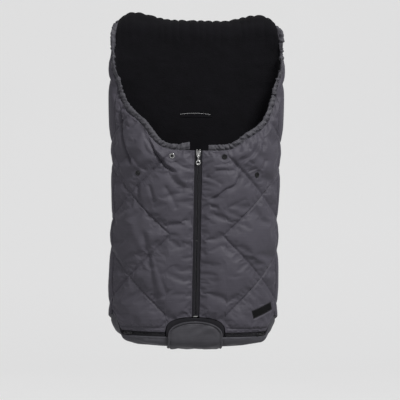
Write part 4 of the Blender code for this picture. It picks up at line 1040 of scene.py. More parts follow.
@dataclass(frozen=True)
class BackFace:
    """The back panel's quilted face: up the back, over the rail and down behind, its sides curled forward."""

    door: DoorFace
    fold_radius: float = 24.5 * MM
    tail: float = 100 * MM
    flat_half: float = 115 * MM
    curl_reach: float = 50 * MM
    foot: float = 620 * MM

    @property
    def fold_length(self) -> float:
        """Return the length of the half turn over the rail."""
        return math.pi * self.fold_radius

    @property
    def end(self) -> float:
        """Return the path position of the tail's end."""
        return -self.fold_length - self.tail

    @property
    def seam_top(self) -> float:
        """Return the path position at which the doors' side seams start."""
        return -self.door.neck_low - self.door.neck_rise

    def bag(self, fullness: float) -> Grid:
        """Return the bag's cross-section, which meets the doors squarely at the side seam."""
        seam = np.array((self.door.seam_x, -self.fold_radius - self.door.seam_y))
        lead = np.array((math.cos(self.door.seam_angle), -math.sin(self.door.seam_angle)))
        reach = (self.flat_half + self.curl_reach, 0.0)
        return np.array([(self.flat_half, 0.0), reach, seam + fullness * lead, seam])

    def stations(self) -> tuple[Grid, Grid]:
        """Return the path positions of the chosen cross-sections and their control points (x, rise)."""
        hood = (
            (self.end, ((50, 0), (80, 0), (120, 8), (138, 4))),
            (-self.fold_length, ((45, 0), (85, 0), (128, 20), (142, 4))),
            (-self.fold_length / 2, ((48, 0), (92, 0), (134, 28), (148, 7))),
            (-self.fold_length / 4, ((65, 0), (110, 0), (152, 17), (161, 10))),
            (0.0, ((85, 0), (130, 0), (168, 7), (177, 14))),
            (28 * MM, ((95, 0), (142, 0), (179, 6), (182, 21))),
            (60 * MM, ((105, 0), (150, 0), (187, 10), (183, 37))),
        )
        bag = (
            (self.seam_top, self.bag(50 * MM)),
            (350 * MM, self.bag(14 * MM)),
            (560 * MM, self.bag(26 * MM)),
            (self.foot, self.bag(12 * MM)),
        )
        positions = [position for position, _ in hood + bag]
        sections = [np.array(section) * MM for _, section in hood] + [section for _, section in bag]
        return np.array(positions), np.array(sections)

    def spine(self, path: Grid) -> tuple[Grid, Grid]:
        """Return the middle of the face at path positions, and the normal to the fleece side."""
        path = np.asarray(path, float)
        angle = np.clip(-path / self.fold_radius, 0.0, math.pi)
        zero = np.zeros_like(path)
        out = np.stack([zero, -np.cos(angle), np.sin(angle)], -1)
        drop = np.where(path >= 0, -path, np.minimum(path + self.fold_length, 0.0))
        return out * self.fold_radius + np.stack([zero, zero, drop], -1), out

    def control(self, path: Grid) -> Grid:
        """Return the control points of the cross-sections at path positions."""
        positions, sections = self.stations()
        place = np.clip(np.searchsorted(positions, path, side="left") - 1, 0, len(positions) - 2)
        share = ease((path - positions[place]) / (positions[place + 1] - positions[place]))[..., None, None]
        return sections[place] * (1 - share) + sections[place + 1] * share

    def point(self, across: Grid, path: Grid) -> Grid:
        """Return points of the face; across runs to 1 over the flat and to 2 round the curl, at either sign."""
        across, path = np.broadcast_arrays(np.asarray(across, float), np.asarray(path, float))
        a, b, c, d = np.moveaxis(self.control(path), -2, 0)
        far = np.abs(across)
        t = np.clip(far - 1, 0.0, 1.0)[..., None]
        curl = (1 - t) ** 3 * a + 3 * (1 - t) ** 2 * t * b + 3 * (1 - t) * t * t * c + t**3 * d
        spine, out = self.spine(path)
        points = spine + out * np.where(far <= 1, 0.0, curl[..., 1])[..., None]
        points[..., 0] += np.where(far <= 1, a[..., 0] * far, curl[..., 0]) * np.sign(across)
        return points

    def foot_path(self, across: Grid) -> Grid:
        """Return where the panel ends at the foot, which rises towards the side seams."""
        rise = self.door.corner_rise + self.foot + self.door.foot
        return self.foot - rise * ease(np.abs(across) - 1)


@dataclass(frozen=True)
class ClothFill:
    """The push of the wadding on a stitched cloth, found by a short cloth simulation."""

    pressure: float = 4.0
    growth: float = 0.03
    frames: int = 20
    cap: float = 6 * MM
    mass: float = 0.25
    stiffness: float = 12.0
    bending: float = 2.5

    def swell(self, points: Grid, held: Grid) -> Grid:
        """Let the wadding push a sheet of cloth out between its stitches.

        Args:
            points: the sheet's points in rows and columns, its front to the right-hand rule.
            held: for each point whether stitches hold it.

        Returns:
            The points after the last step, none further than the cap from where it was.
        """
        rows, columns = points.shape[:2]
        number = np.arange(rows * columns).reshape(rows, columns)
        quads = np.stack([number[:-1, :-1], number[:-1, 1:], number[1:, 1:], number[1:, :-1]], -1)
        thing = link_mesh("swelling_cloth", points, quads.reshape(-1, 4).tolist(), SHELL)
        stitched = thing.vertex_groups.new(name="stitched")
        stitched.add(np.flatnonzero(held).tolist(), 1.0, "REPLACE")
        cloth = thing.modifiers.new("cloth", "CLOTH")
        cloth.point_cache.frame_start = 1
        cloth.point_cache.frame_end = self.frames
        settings = cloth.settings
        settings.quality = 4
        settings.mass = self.mass
        settings.tension_stiffness = self.stiffness
        settings.compression_stiffness = self.stiffness
        settings.shear_stiffness = self.stiffness / 3
        settings.bending_stiffness = self.bending
        settings.use_pressure = True
        settings.uniform_pressure_force = self.pressure
        settings.shrink_min = -self.growth
        settings.vertex_group_mass = stitched.name
        settings.effector_weights.gravity = 0.0
        scene = bpy.context.scene
        for step in range(1, self.frames + 1):
            scene.frame_set(step)
        shape = thing.evaluated_get(bpy.context.evaluated_depsgraph_get()).data
        moved = np.empty(rows * columns * 3, np.float32)
        shape.vertices.foreach_get("co", moved)
        scene.frame_set(1)
        bpy.data.objects.remove(thing)
        shift = moved.reshape(points.shape).astype(float) - points
        far = np.linalg.norm(shift, axis=-1, keepdims=True)
        return points + shift * np.minimum(1.0, self.cap / np.maximum(far, 1e-9))


@dataclass(frozen=True)
class LabelPlace:
    """The place of the sewn label on a door, in girth and height."""

    centre: float
    level: float = -571 * MM
    width: float = 55 * MM
    height: float = 16 * MM
    tilt: float = math.radians(18)

    def spots(self, along: Grid, across: Grid) -> tuple[Grid, Grid]:
        """Return the girths and heights of places on the label."""
        girth = self.centre + along * math.cos(self.tilt) - across * math.sin(self.tilt)
        return girth, self.level + along * math.sin(self.tilt) + across * math.cos(self.tilt)

    def outside(self, girth: Grid, z: Grid) -> Grid:
        """Return how far points lie outside the label's edge, below 0 inside it."""
        right, up = girth - self.centre, z - self.level
        along = right * math.cos(self.tilt) + up * math.sin(self.tilt)
        across = up * math.cos(self.tilt) - right * math.sin(self.tilt)
        return np.maximum(np.abs(along) - self.width / 2, np.abs(across) - self.height / 2)


@dataclass
class FrontDoor:
    """One padded front door: its quilt, fleece lining, neckline casing and the folds of its cloth."""

    side: Side
    face: DoorFace
    quilting: Quilting
    folds: tuple[Fold, ...]
    label: LabelPlace | None = None
    step: float = 1.7 * MM
    lining_step: float = 3.2 * MM
    tape_reach: float = 19.3 * MM
    hem_reach: float = 14 * MM
    hem_depth: float = 1.15 * MM
    hem_stitch: float = 8.5 * MM
    seam_lift: float = 9 * MM
    padding_depth: float = 7.3 * MM
    fleece_top: float = 7.6 * MM
    fleece_thick: float = 2.4 * MM
    fade: float = 18 * MM
    fold_strength: float = 1.35
    studs: tuple[tuple[float, float], ...] = ((54 * MM, -252 * MM), (123 * MM, -288 * MM))
    stud_calm: float = 9 * MM
    stud_sunk: float = 0.5 * MM

    @property
    def body(self) -> str:
        """Return the body that the door's pieces ride on."""
        return f"{self.side.word}_front_door"

    @property
    def stem(self) -> str:
        """Return the first words of the names of the door's pieces."""
        return f"{self.side.word}_front"

    @property
    def seed(self) -> int:
        """Return the first seed of this door's own wrinkles."""
        return 100 if self.side is Side.LEFT else 200

    def stud_seat(self, word: str) -> float:
        """Return how far the cloth stands out under a press stud, whose lower half it hides."""
        low, high = (Vector(corner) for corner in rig.box(f"{self.stem}_{word}_press_stud"))
        return self.face.height_of((low + high) / 2) - self.stud_sunk

    def from_studs(self, girth: Grid, z: Grid) -> Iterator[tuple[str, Grid]]:
        """Return each press stud's word and how far the points are from its middle."""
        for word, (x, level) in zip(("upper", "lower"), self.studs):
            yield word, np.hypot(girth - self.face.girth_at(x), z - level)

    def relief(self, girth: Grid, z: Grid, folded: bool = True) -> Grid:
        """Return how far the cloth stands out from the door's outer face, with or without its folds."""
        face, seed = self.face, self.seed
        edge = face.rim_distance(girth, z, self.seam_lift)
        fade = ease(edge / self.fade)
        height = self.quilting.height(girth, z) * fade
        height += 1.7 * MM * noise(seed + 1, girth, z, 64, 70) * fade
        height += 0.6 * MM * noise(seed + 2, girth, z, 21, 26) * fade
        height += 0.25 * MM * noise(seed + 3, girth, z, 7, 8) * ease(edge, 6)
        from_zip = girth - face.zip_edge
        gather = 0.5 + 0.5 * noise(seed + 4, z / (13 * MM) + girth / (30 * MM), girth / (40 * MM))
        height += 0.9 * MM * gather * fall(from_zip, 20)
        under_neck = face.neck(girth) - z
        gather = 0.6 * noise(seed + 5, girth + 0.25 * z, under_neck, 8.5, 70)
        gather = gather + 0.7 * noise(seed + 10, girth + 0.3 * z, under_neck, 15, 60)
        height += 2.0 * MM * gather * fall(under_neck, 26) * ease(from_zip, 20)
        over_foot = z - face.foot_edge(girth)
        hem = ease(girth - face.arch_half, 8)
        height += 0.9 * MM * bell(over_foot - 0.5 * self.hem_stitch, 2.6) * hem
        height -= 1.8 * MM * bell(over_foot - self.hem_stitch, 1.5) * hem
        gather = 0.5 + 0.5 * noise(seed + 6, girth, z, 9, 60)
        height += 1.2 * MM * gather * fall(np.maximum(over_foot, 0), 18)
        for fold in self.folds if folded else ():
            height += fold.height(girth, z) * ease(edge, 12) * self.fold_strength
        height = np.maximum(height, -0.1 * MM - 6 * MM * ease(edge - 12 * MM, 12))
        for word, gone in self.from_studs(girth, z):
            calm = np.exp(-((gone / self.stud_calm) ** 4))
            height = height * (1 - calm) + self.stud_seat(word) * calm
        if self.label:
            inside = ease(-self.label.outside(girth, z) / (5 * MM) + 0.6)
            seat = 1.8 * MM + 0.7 * MM * noise(seed + 11, girth, z, 22, 24)
            height = height * (1 - inside) + seat * inside
        return height

    def sewn(self, girth: Grid, z: Grid) -> Grid:
        """Return for each point whether a seam, a press stud or the label holds the cloth there."""
        still = self.quilting.distance(girth, z) < self.step
        for _, gone in self.from_studs(girth, z):
            still |= gone < self.stud_calm * 0.7
        if self.label:
            still |= self.label.outside(girth, z) < 1.5 * MM
        over_foot = z - self.face.foot_edge(girth) - self.hem_stitch
        still |= (np.abs(over_foot) < self.step) & (girth > self.face.arch_half)
        still[[0, -1]] = True
        still[:, [0, -1]] = True
        return still

    def swollen(self, outer: Grid, girth: Grid, z: Grid) -> Grid:
        """Let the wadding push the quilt's outer side out.

        The simulation runs on every second row and column, and the others follow between them.

        Args:
            outer: the outer side's points in rows and columns.
            girth: their girths.
            z: their heights.

        Returns:
            The points after the simulation, with the stitched lines kept crisp.
        """
        tall, wide = girth.shape
        rows, columns = (np.unique(np.append(np.arange(0, count, 2), count - 1)) for count in (tall, wide))
        every = np.ix_(rows, columns)
        flip = slice(None, None, self.side.value)
        held = self.sewn(girth[every], z[every])
        shift = ClothFill().swell(outer[every][:, flip], held[:, flip])[:, flip] - outer[every]
        layers = []
        for axis in range(3):
            lines = np.array([np.interp(np.arange(wide), columns, line) for line in shift[..., axis]])
            layers.append(np.array([np.interp(np.arange(tall), rows, line) for line in lines.T]).T)
        crisp = 1 - bell(self.quilting.distance(girth, z), 1.5)
        for _, gone in self.from_studs(girth, z):
            crisp *= ease(gone - 6 * MM, 6)
        if self.label:
            crisp *= ease(self.label.outside(girth, z), 6)
        return outer + np.stack(layers, -1) * crisp[..., None]

    def thickness(self, girth: Grid, z: Grid) -> Grid:
        """Return the depth of the quilt's inner side, which is thin over the zips' tapes."""
        inward = np.minimum(girth - self.tape_reach, z - self.face.foot_edge(girth) - self.hem_reach)
        return self.hem_depth + (self.padding_depth - self.hem_depth) * ease(inward, 5)

    def outer_depth(self, girth: Grid, z: Grid) -> Grid:
        """Return the depth of the quilt's outer side, rounded over at its edges."""
        edge = self.face.rim_distance(girth, z, self.seam_lift)
        return 0.4 * self.thickness(girth, z) * rolled(edge, 3.5) - self.relief(girth, z)

    def outward(self, girth: Grid) -> Grid:
        """Return the outer face's unit normals on this side of the muff."""
        return self.face.plan(girth)[1] * np.array((self.side.value, 1, 1))

    def sheet_grid(self, start: float, margin: float, step: float) -> tuple[Grid, Grid]:
        """Return the girths and heights of a grid over the door.

        Args:
            start: girth of the first column.
            margin: height of the first row over the foot edge.
            step: usual spacing of the grid.
        """
        face = self.face
        columns = fine_steps(start, face.seam - 0.3 * MM, step, 4 * MM, step / 2)
        if start < face.arch_half:
            arch = np.linspace(face.arch_half - 5 * MM, face.arch_half + 2 * MM, 11)
            columns = np.unique(np.concatenate([columns, arch]))
            columns = columns[np.concatenate([[True], np.diff(columns) > 0.25 * MM])]
        tall = face.neck(np.array(face.seam)) - face.foot
        rows = fine_steps(0.0, 1.0, step / tall, 4 * MM / tall, step / 2 / tall)
        girth = np.broadcast_to(columns, (len(rows), len(columns))).copy()
        low = face.foot_edge(girth) + margin
        return girth, low + (face.neck(girth) - low) * rows[:, None]

    def build_quilt(self) -> None:
        """Build the padded outer quilt."""
        girth, z = self.sheet_grid(self.face.zip_edge, 0.0, self.step)
        shift = 0.5 * MM * noise(self.seed + 7, z, girth * 0, 11) * fall(girth - self.face.zip_edge, 8)
        lift = self.relief(girth, z) - self.relief(girth, z, folded=False)
        drawn = girth + np.maximum(shift, -0.3 * MM)
        outer = self.face.place(self.side, drawn, z, self.outer_depth(girth, z) + lift)
        inner = self.face.place(self.side, girth, z, self.thickness(girth, z))
        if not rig.quick():
            outer = self.swollen(outer, girth, z)
        outer = outer + self.outward(girth) * lift[..., None]
        quilt = closed_sheet(f"{self.stem}_quilt", outer, inner, np.stack([girth, z], -1), SHELL)
        nodes = (f"{self.stem}_outer_fabric", f"{self.stem}_wadding")
        settle(quilt, self.body, Slot.SHELL, nodes, self.face.hinge(self.side))
        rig.padded(quilt, fill=0.55)

    def build_lining(self) -> None:
        """Build the fleece lining behind the quilt."""
        margin = self.hem_reach + 0.6 * MM
        girth, z = self.sheet_grid(self.tape_reach + 0.3 * MM, margin, self.lining_step)
        wave = 0.5 * MM * noise(self.seed + 8, girth, z, 22, 26) + 0.5 * MM
        edge = ease(np.minimum(self.face.rim_distance(girth, z), girth - self.tape_reach), 8)
        outer = self.face.place(self.side, girth, z, np.full_like(girth, self.fleece_top))
        depth = self.fleece_top + self.fleece_thick * (0.5 + 0.5 * edge) + wave * edge
        inner = self.face.place(self.side, girth, z, depth)
        lining = closed_sheet(f"{self.stem}_fleece", outer, inner, np.stack([girth, z], -1), FLEECE)
        settle(lining, self.body, Slot.FLEECE, (f"{self.stem}_fleece_lining",), self.face.hinge(self.side))
        declare(lining, float(np.ptp(girth)), float(np.ptp(z)), "stretched")

    def build_casing(self) -> None:
        """Build the ruched casing along the neckline, with the elastic drawn up inside it."""
        left = self.side is Side.LEFT
        girth = np.arange((17.5 if left else 20.5) * MM, self.face.seam, 0.8 * MM)
        plan, out = self.face.plan(girth)
        tab = (4.0 if left else 0.0) * MM * (1 - ease(girth - girth[0], 26))
        edge = plan + np.stack([0 * girth, 0 * girth, self.face.neck(girth) + tab], -1)
        path = CasingPath.along(edge, -out, Vector((0, 0, 1)))
        path = path.mirrored() if left else path
        name = f"{self.side.word}_neckline_casing"
        casing = path.ruche(name, self.seed + 9, plain_end=20 * MM, flare=0.25 if left else 0.0)
        nodes = (f"{self.side.word}_neck_casing", f"{self.side.word}_neck_elastic")
        settle(casing, self.body, Slot.CASING, nodes, self.face.hinge(self.side))
        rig.padded(casing, fill=0.4)

    def build_stitches(self) -> None:
        """Sew the quilting lines, sunk in their grooves, and the topstitching beside the zip and the hem."""
        face, runs = self.face, []
        share = np.linspace(-4, 8, 2600)
        for rising in (False, True):
            for number in range(-4, 7):
                up = 2 * number + 1 - share if rising else share - (2 * number + 1)
                girth = self.quilting.girth + share * self.quilting.half
                z = self.quilting.level + up * self.quilting.rise
                inside = (girth > face.zip_edge) & (girth < face.seam)
                girth, z = girth[inside], z[inside]
                kept = (face.rim_distance(girth, z) > 3 * MM) & (self.quilting.reach(girth) > 0.5)
                if self.label:
                    kept &= self.label.outside(girth, z) > 2 * MM
                runs.append((girth[kept], z[kept]))
        level = np.arange(face.foot + face.arch_rise + 4 * MM, face.neck_low - 4 * MM, 0.8 * MM)
        runs.append((np.full_like(level, face.zip_edge + 2.6 * MM), level))
        hem = np.arange(face.arch_half + 4 * MM, face.seam - 3 * MM, 0.8 * MM)
        runs.append((hem, face.foot_edge(hem) + self.hem_stitch))
        girth, z = (np.concatenate(column) for column in zip(*runs))
        points = face.place(self.side, girth, z, self.outer_depth(girth, z))
        row = stitch_row(f"{self.stem}_stitching", points, self.outward(girth), THREAD)
        settle(row, self.body, bend=face.hinge(self.side))

    def build(self) -> None:
        """Build all of the door's cloth."""
        self.build_quilt()
        self.build_lining()
        self.build_casing()
        self.build_stitches()


@dataclass(frozen=True)
class CasingPath:
    """The line of a gathered casing: its middles, and the directions across its width and through it."""

    middle: Grid
    wide: Grid
    through: Grid
    half_width: float = 6.6 * MM
    half_thick: float = 3.8 * MM
    overlap: float = 1.2 * MM
    body_thick: float = 10 * MM
    sides: int = 26

    @classmethod
    def along(cls, edge: Grid, normal: Grid, hint: Vector | None) -> "CasingPath":
        """Run a casing along a cloth's edge.

        Args:
            edge: the edge's points, close together.
            normal: the unit normals there, to the fleece side.
            hint: a direction that the casing lies towards from the edge, or None where the edge turns
                anticlockwise round the cloth seen from the fleece side.
        """
        tangent = unit(np.gradient(edge, axis=0))
        wide = unit(np.cross(normal, tangent))
        if hint is not None and (wide @ np.array(hint)).mean() < 0:
            wide = -wide
        middle = edge + wide * (cls.half_width - cls.overlap) + normal * (cls.body_thick / 2)
        return cls(middle, wide, normal)

    def mirrored(self) -> "CasingPath":
        """Return the path on the other side of the muff."""
        flip = np.array((-1.0, 1.0, 1.0))
        return CasingPath(self.middle * flip, self.wide * flip, self.through * flip)

    def softened(self, reach: int) -> "CasingPath":
        """Return the path with its corners rounded over so many points each way."""
        kernel = np.hanning(2 * reach + 3)[1:-1]
        kernel /= kernel.sum()
        parts = []
        for part in (self.middle, self.wide, self.through):
            padded = np.concatenate([np.repeat(part[:1], reach, 0), part, np.repeat(part[-1:], reach, 0)])
            parts.append(np.stack([np.convolve(padded[:, axis], kernel, "valid") for axis in range(3)], 1))
        return CasingPath(parts[0], unit(parts[1]), unit(parts[2]))

    def ruche(self, name: str, seed: int, plain_end: float = 0.0, flare: float = 0.0) -> Thing:
        """Build the casing with its gathers, a stitched channel at its foot and closed ends.

        Args:
            name: the piece's name.
            seed: the seed of its gathers.
            plain_end: length over which the gathers fade towards the start.
            flare: share by which the start is wider.
        """
        tangent = unit(np.gradient(self.middle, axis=0))
        wide = unit(self.wide - tangent * (self.wide * tangent).sum(-1, keepdims=True))
        through = unit(np.cross(tangent, wide))
        through *= np.sign((through * self.through).sum(-1, keepdims=True))
        travel = travelled(self.middle)
        turn = np.linspace(0, 2 * math.pi, self.sides, endpoint=False)
        t, turned = np.meshgrid(travel, turn, indexing="ij")
        w, h = np.cos(turned), np.sin(turned)
        channel = 1 - 0.6 * bell(w + 0.62, 150)
        drawn = ease(t / max(plain_end, MM)) * 0.85 + 0.15
        gather = noise(seed, t / (4.4 * MM) + 0.8 * w, np.abs(h) * 0.5 + w * 0.6)
        gather = (0.95 * gather + 0.4 * noise(seed + 1, t / (2.2 * MM) + 0.6 * w, w * 1.5 + 5)) * drawn
        sag = 0.5 * noise(seed + 2, t, w * 0.6, 17)
        puff = 1 + 0.62 * np.clip(1.6 * gather, -1, 0.8) + 0.08 * sag
        close = (1 - rolled(np.minimum(t, travel[-1] - t), 3)) * 0.75 + 0.25
        wider = 1 + flare * (1 - ease(t, 24))
        across = w * self.half_width * (1 + 0.16 * gather + 0.06 * sag) * (0.85 + 0.15 * close) * wider
        deep = h * self.half_thick * channel * puff * close
        rings = self.middle[:, None] + wide[:, None] * across[..., None] + through[:, None] * deep[..., None]
        spread = np.stack([t, turned * self.half_width / 2], -1)
        return swept_tube(name, rings, spread, CASING)


@dataclass
class BackPanel:
    """The back panel with its hood: quilt, fleece lining, harness slots and the ruched casing."""

    face: BackFace
    quilting: Quilting
    body: str = "back_and_foot"
    step: float = 2.6 * MM
    lining_step: float = 2.4 * MM
    slot_half_width: float = 33 * MM
    slot_half_height: float = 6 * MM
    shoulder_slot: float = 162 * MM
    crotch_slot: float = 432 * MM
    padding_depth: float = 7.3 * MM
    fleece_top: float = 7.6 * MM
    fleece_thick: float = 2.4 * MM
    foot_start: float = 560 * MM

    @property
    def slots(self) -> tuple[float, float]:
        """Return the path positions of both slots."""
        return self.shoulder_slot, self.crotch_slot

    def rows(self, step: float) -> Grid:
        """Return the path positions of a grid's rows, with one on each edge of a slot."""
        marks = [self.face.end, -self.face.fold_length, 0.0]
        for slot in self.slots:
            marks += [slot - self.slot_half_height, slot + self.slot_half_height]
        marks.append(self.face.foot)
        parts = []
        for low, high in zip(marks, marks[1:]):
            fine = step * (0.75 if -self.face.fold_length <= low < 0 else 1.0)
            parts.append(np.linspace(low, high, max(2, round((high - low) / fine)) + 1)[:-1])
        return np.concatenate([*parts, [self.face.foot]])

    def grid(self, step: float) -> tuple[Grid, Grid, Grid]:
        """Return the across values, path positions and girths of a grid over the panel."""
        path = self.rows(step)
        flat = self.face.control(path)[:, 0, 0]
        slot = np.linspace(0, 1, round(self.slot_half_width / step) + 1)
        wing = np.linspace(0, 1, round(70 * MM / step) + 1)[1:]
        curl = np.concatenate([np.linspace(0, 0.93, round(75 * MM / step) + 1)[1:], [0.955, 0.975, 0.99, 1.0]])
        inside = slot[None] * self.slot_half_width / flat[:, None]
        middle = inside[:, -1:] + (1 - inside[:, -1:]) * wing[None]
        half = np.concatenate([inside, middle, 1 + np.broadcast_to(curl, (len(path), len(curl)))], 1)
        across = np.concatenate([-half[:, :0:-1], half], 1)
        paths = np.broadcast_to(path[:, None], across.shape).copy()
        lowest = self.foot_start
        low_share = np.clip((paths - lowest) / (self.face.foot - lowest), 0, None)
        paths = np.where(paths > lowest, lowest + (self.face.foot_path(across) - lowest) * low_share, paths)
        run = np.linalg.norm(np.diff(self.face.point(across, paths), axis=1), axis=-1)
        run = np.concatenate([np.zeros((len(path), 1)), np.cumsum(run, axis=1)], 1)
        return across, paths, run - run[:, across.shape[1] // 2, None]

    def cells(self, across: Grid, path: Grid) -> Grid:
        """Return for each cell whether the cloth is there, which it isn't in the two slots."""
        x = self.face.point(across, path)[..., 0]
        middle_x = np.abs(x[:-1, :-1] + x[1:, 1:]) / 2
        middle_path = (path[:-1, :-1] + path[1:, 1:]) / 2
        there = np.ones(middle_x.shape, bool)
        for slot in self.slots:
            there &= ~((middle_x < self.slot_half_width) & (np.abs(middle_path - slot) < self.slot_half_height))
        return there

    def down(self, across: Grid, path: Grid) -> Grid:
        """Return the face's direction down its path."""
        step = 0.4 * MM
        return self.face.point(across, path + step) - self.face.point(across, path - step)

    def offset(self, across: Grid, path: Grid) -> tuple[Grid, Grid]:
        """Return the face's points and its unit normals to the fleece side."""
        share = 2e-3
        low, high = np.clip(across - share, -2, 2), np.clip(across + share, -2, 2)
        side = self.face.point(high, path) - self.face.point(low, path)
        normal = unit(np.cross(self.down(across, path), side))
        centre = across.shape[1] // 2
        sign = np.sign((normal[:, centre] * self.face.spine(path)[1][:, centre]).sum(-1))
        return self.face.point(across, path), normal * sign[:, None, None]

    def slot_fade(self, across: Grid, path: Grid) -> Grid:
        """Return a share that is 0 on the slots' edges and 1 from a little way off."""
        x = np.maximum(np.abs(self.face.point(across, path)[..., 0]) - self.slot_half_width, 0)
        gone = [np.hypot(x, np.maximum(np.abs(path - slot) - self.slot_half_height, 0)) for slot in self.slots]
        return ease(np.minimum(*gone), 14)

    def build_quilt(self) -> None:
        """Build the quilted outer side, whose diamonds carry on round the doors' side seams."""
        across, path, girth = self.grid(self.step)
        points, normal = self.offset(across, path)
        half = girth[:, -1:]
        seam = self.face.door.seam
        repeat = (self.quilting.girth + 3 * self.quilting.half - seam) / np.maximum(half, 1e-6)
        swell = self.quilting.height(seam + (half - np.abs(girth)) * repeat, -path)
        hanging = np.clip(ease(path - 8 * MM, 60) + ease(-path - self.face.fold_length, 30), 0, 1)
        sewn = ease(path - self.face.seam_top, 20)
        edge = (half - np.abs(girth)) * (1 + 2 * sewn) + 9 * MM * sewn
        rim = np.minimum(edge, np.minimum(path - self.face.end, self.face.foot - path))
        fade = ease(rim, 16) * self.slot_fade(across, path)
        height = swell * fade * hanging * (0.55 + 0.45 * ease((np.abs(across) - 0.9) / 0.3))
        height += 1.2 * MM * noise(301, girth, path, 55, 60) * fade * hanging
        outer = points + normal * (0.4 * self.padding_depth * rolled(rim, 4) - height)[..., None]
        inner = points + normal * self.padding_depth
        spread = np.stack([girth, path], -1)
        quilt = closed_sheet("back_quilt", outer, inner, spread, SHELL, self.cells(across, path))
        settle(quilt, self.body, Slot.SHELL, ("back_outer_fabric", "back_wadding"))
        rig.padded(quilt, fill=0.5)

    def build_lining(self) -> None:
        """Build the fleece lining, which buckles into soft scallops over the rail."""
        across, path, girth = self.grid(self.lining_step)
        points, normal = self.offset(across, path)
        edge = np.minimum(girth[:, -1:] - np.abs(girth), path - self.face.end)
        fade = ease(edge, 14) * self.slot_fade(across, path)
        crease = girth / (18 * MM) + 0.45 * noise(311, girth, path, 30, 90)
        scallop = np.abs(np.sin(math.pi * crease)) ** 0.6
        height = 3.4 * MM * scallop * bell(path + self.face.fold_length / 2, 36) * ease(edge, 8)
        height += 0.9 * MM * (0.5 + 0.5 * noise(312, girth, path, 42, 50)) * fade
        height += 0.35 * MM * noise(313, girth, path, 6, 7) * fade
        pull = bell(path - 70 * MM, 60) * bell(np.abs(across) - 1.35, 300)
        height += 1.6 * MM * (0.5 + 0.5 * noise(314, girth, path, 60, 13)) * pull
        outer = points + normal * self.fleece_top
        thick = self.fleece_thick * (0.6 + 0.4 * ease(edge, 5))
        inner = points + normal * (thick + self.fleece_top + height)[..., None]
        spread = np.stack([girth, path], -1)
        lining = closed_sheet("back_fleece", outer, inner, spread, FLEECE, self.cells(across, path))
        settle(lining, self.body, Slot.FLEECE, ("back_fleece_lining",))
        declare(lining, float(np.ptp(girth)), float(np.ptp(path)), "hung")

    def build_casing(self) -> None:
        """Build the ruched casing up both sides of the hood and along the end of its tail."""
        side = np.arange(self.face.seam_top, self.face.end, -0.9 * MM)
        hem = np.linspace(2.0, -2.0, 330)[1:-1]
        across = np.concatenate([np.full_like(side, 2.0), hem, np.full_like(side, -2.0)])
        path = np.concatenate([side, np.full_like(hem, self.face.end), side[::-1]])
        edge = self.face.point(across, path)
        down = self.down(across, path)
        inward = edge - self.face.point(np.where(across > 0, across - 4e-3, across + 4e-3), path)
        normal = unit(np.cross(down, inward * np.sign(across)[:, None]))
        wide = unit(np.cross(unit(down), normal))
        wide = wide * np.sign((wide * unit(inward)).sum(-1, keepdims=True))
        wide = np.where(np.abs(across)[:, None] < 2, -unit(down), wide)
        normal = normal * np.sign((normal * self.face.spine(path)[1]).sum(-1).mean())
        middle = edge + wide * (CasingPath.half_width - CasingPath.overlap)
        middle = middle + normal * (CasingPath.body_thick / 2)
        casing = CasingPath(middle, wide, normal).softened(11).ruche("hood_casing_ruched", 321)
        settle(casing, self.body, Slot.CASING, ("hood_casing", "hood_elastic"))
        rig.padded(casing, fill=0.4)

    def build(self) -> None:
        """Build all of the panel's cloth."""
        self.build_quilt()
        self.build_lining()
        self.build_casing()


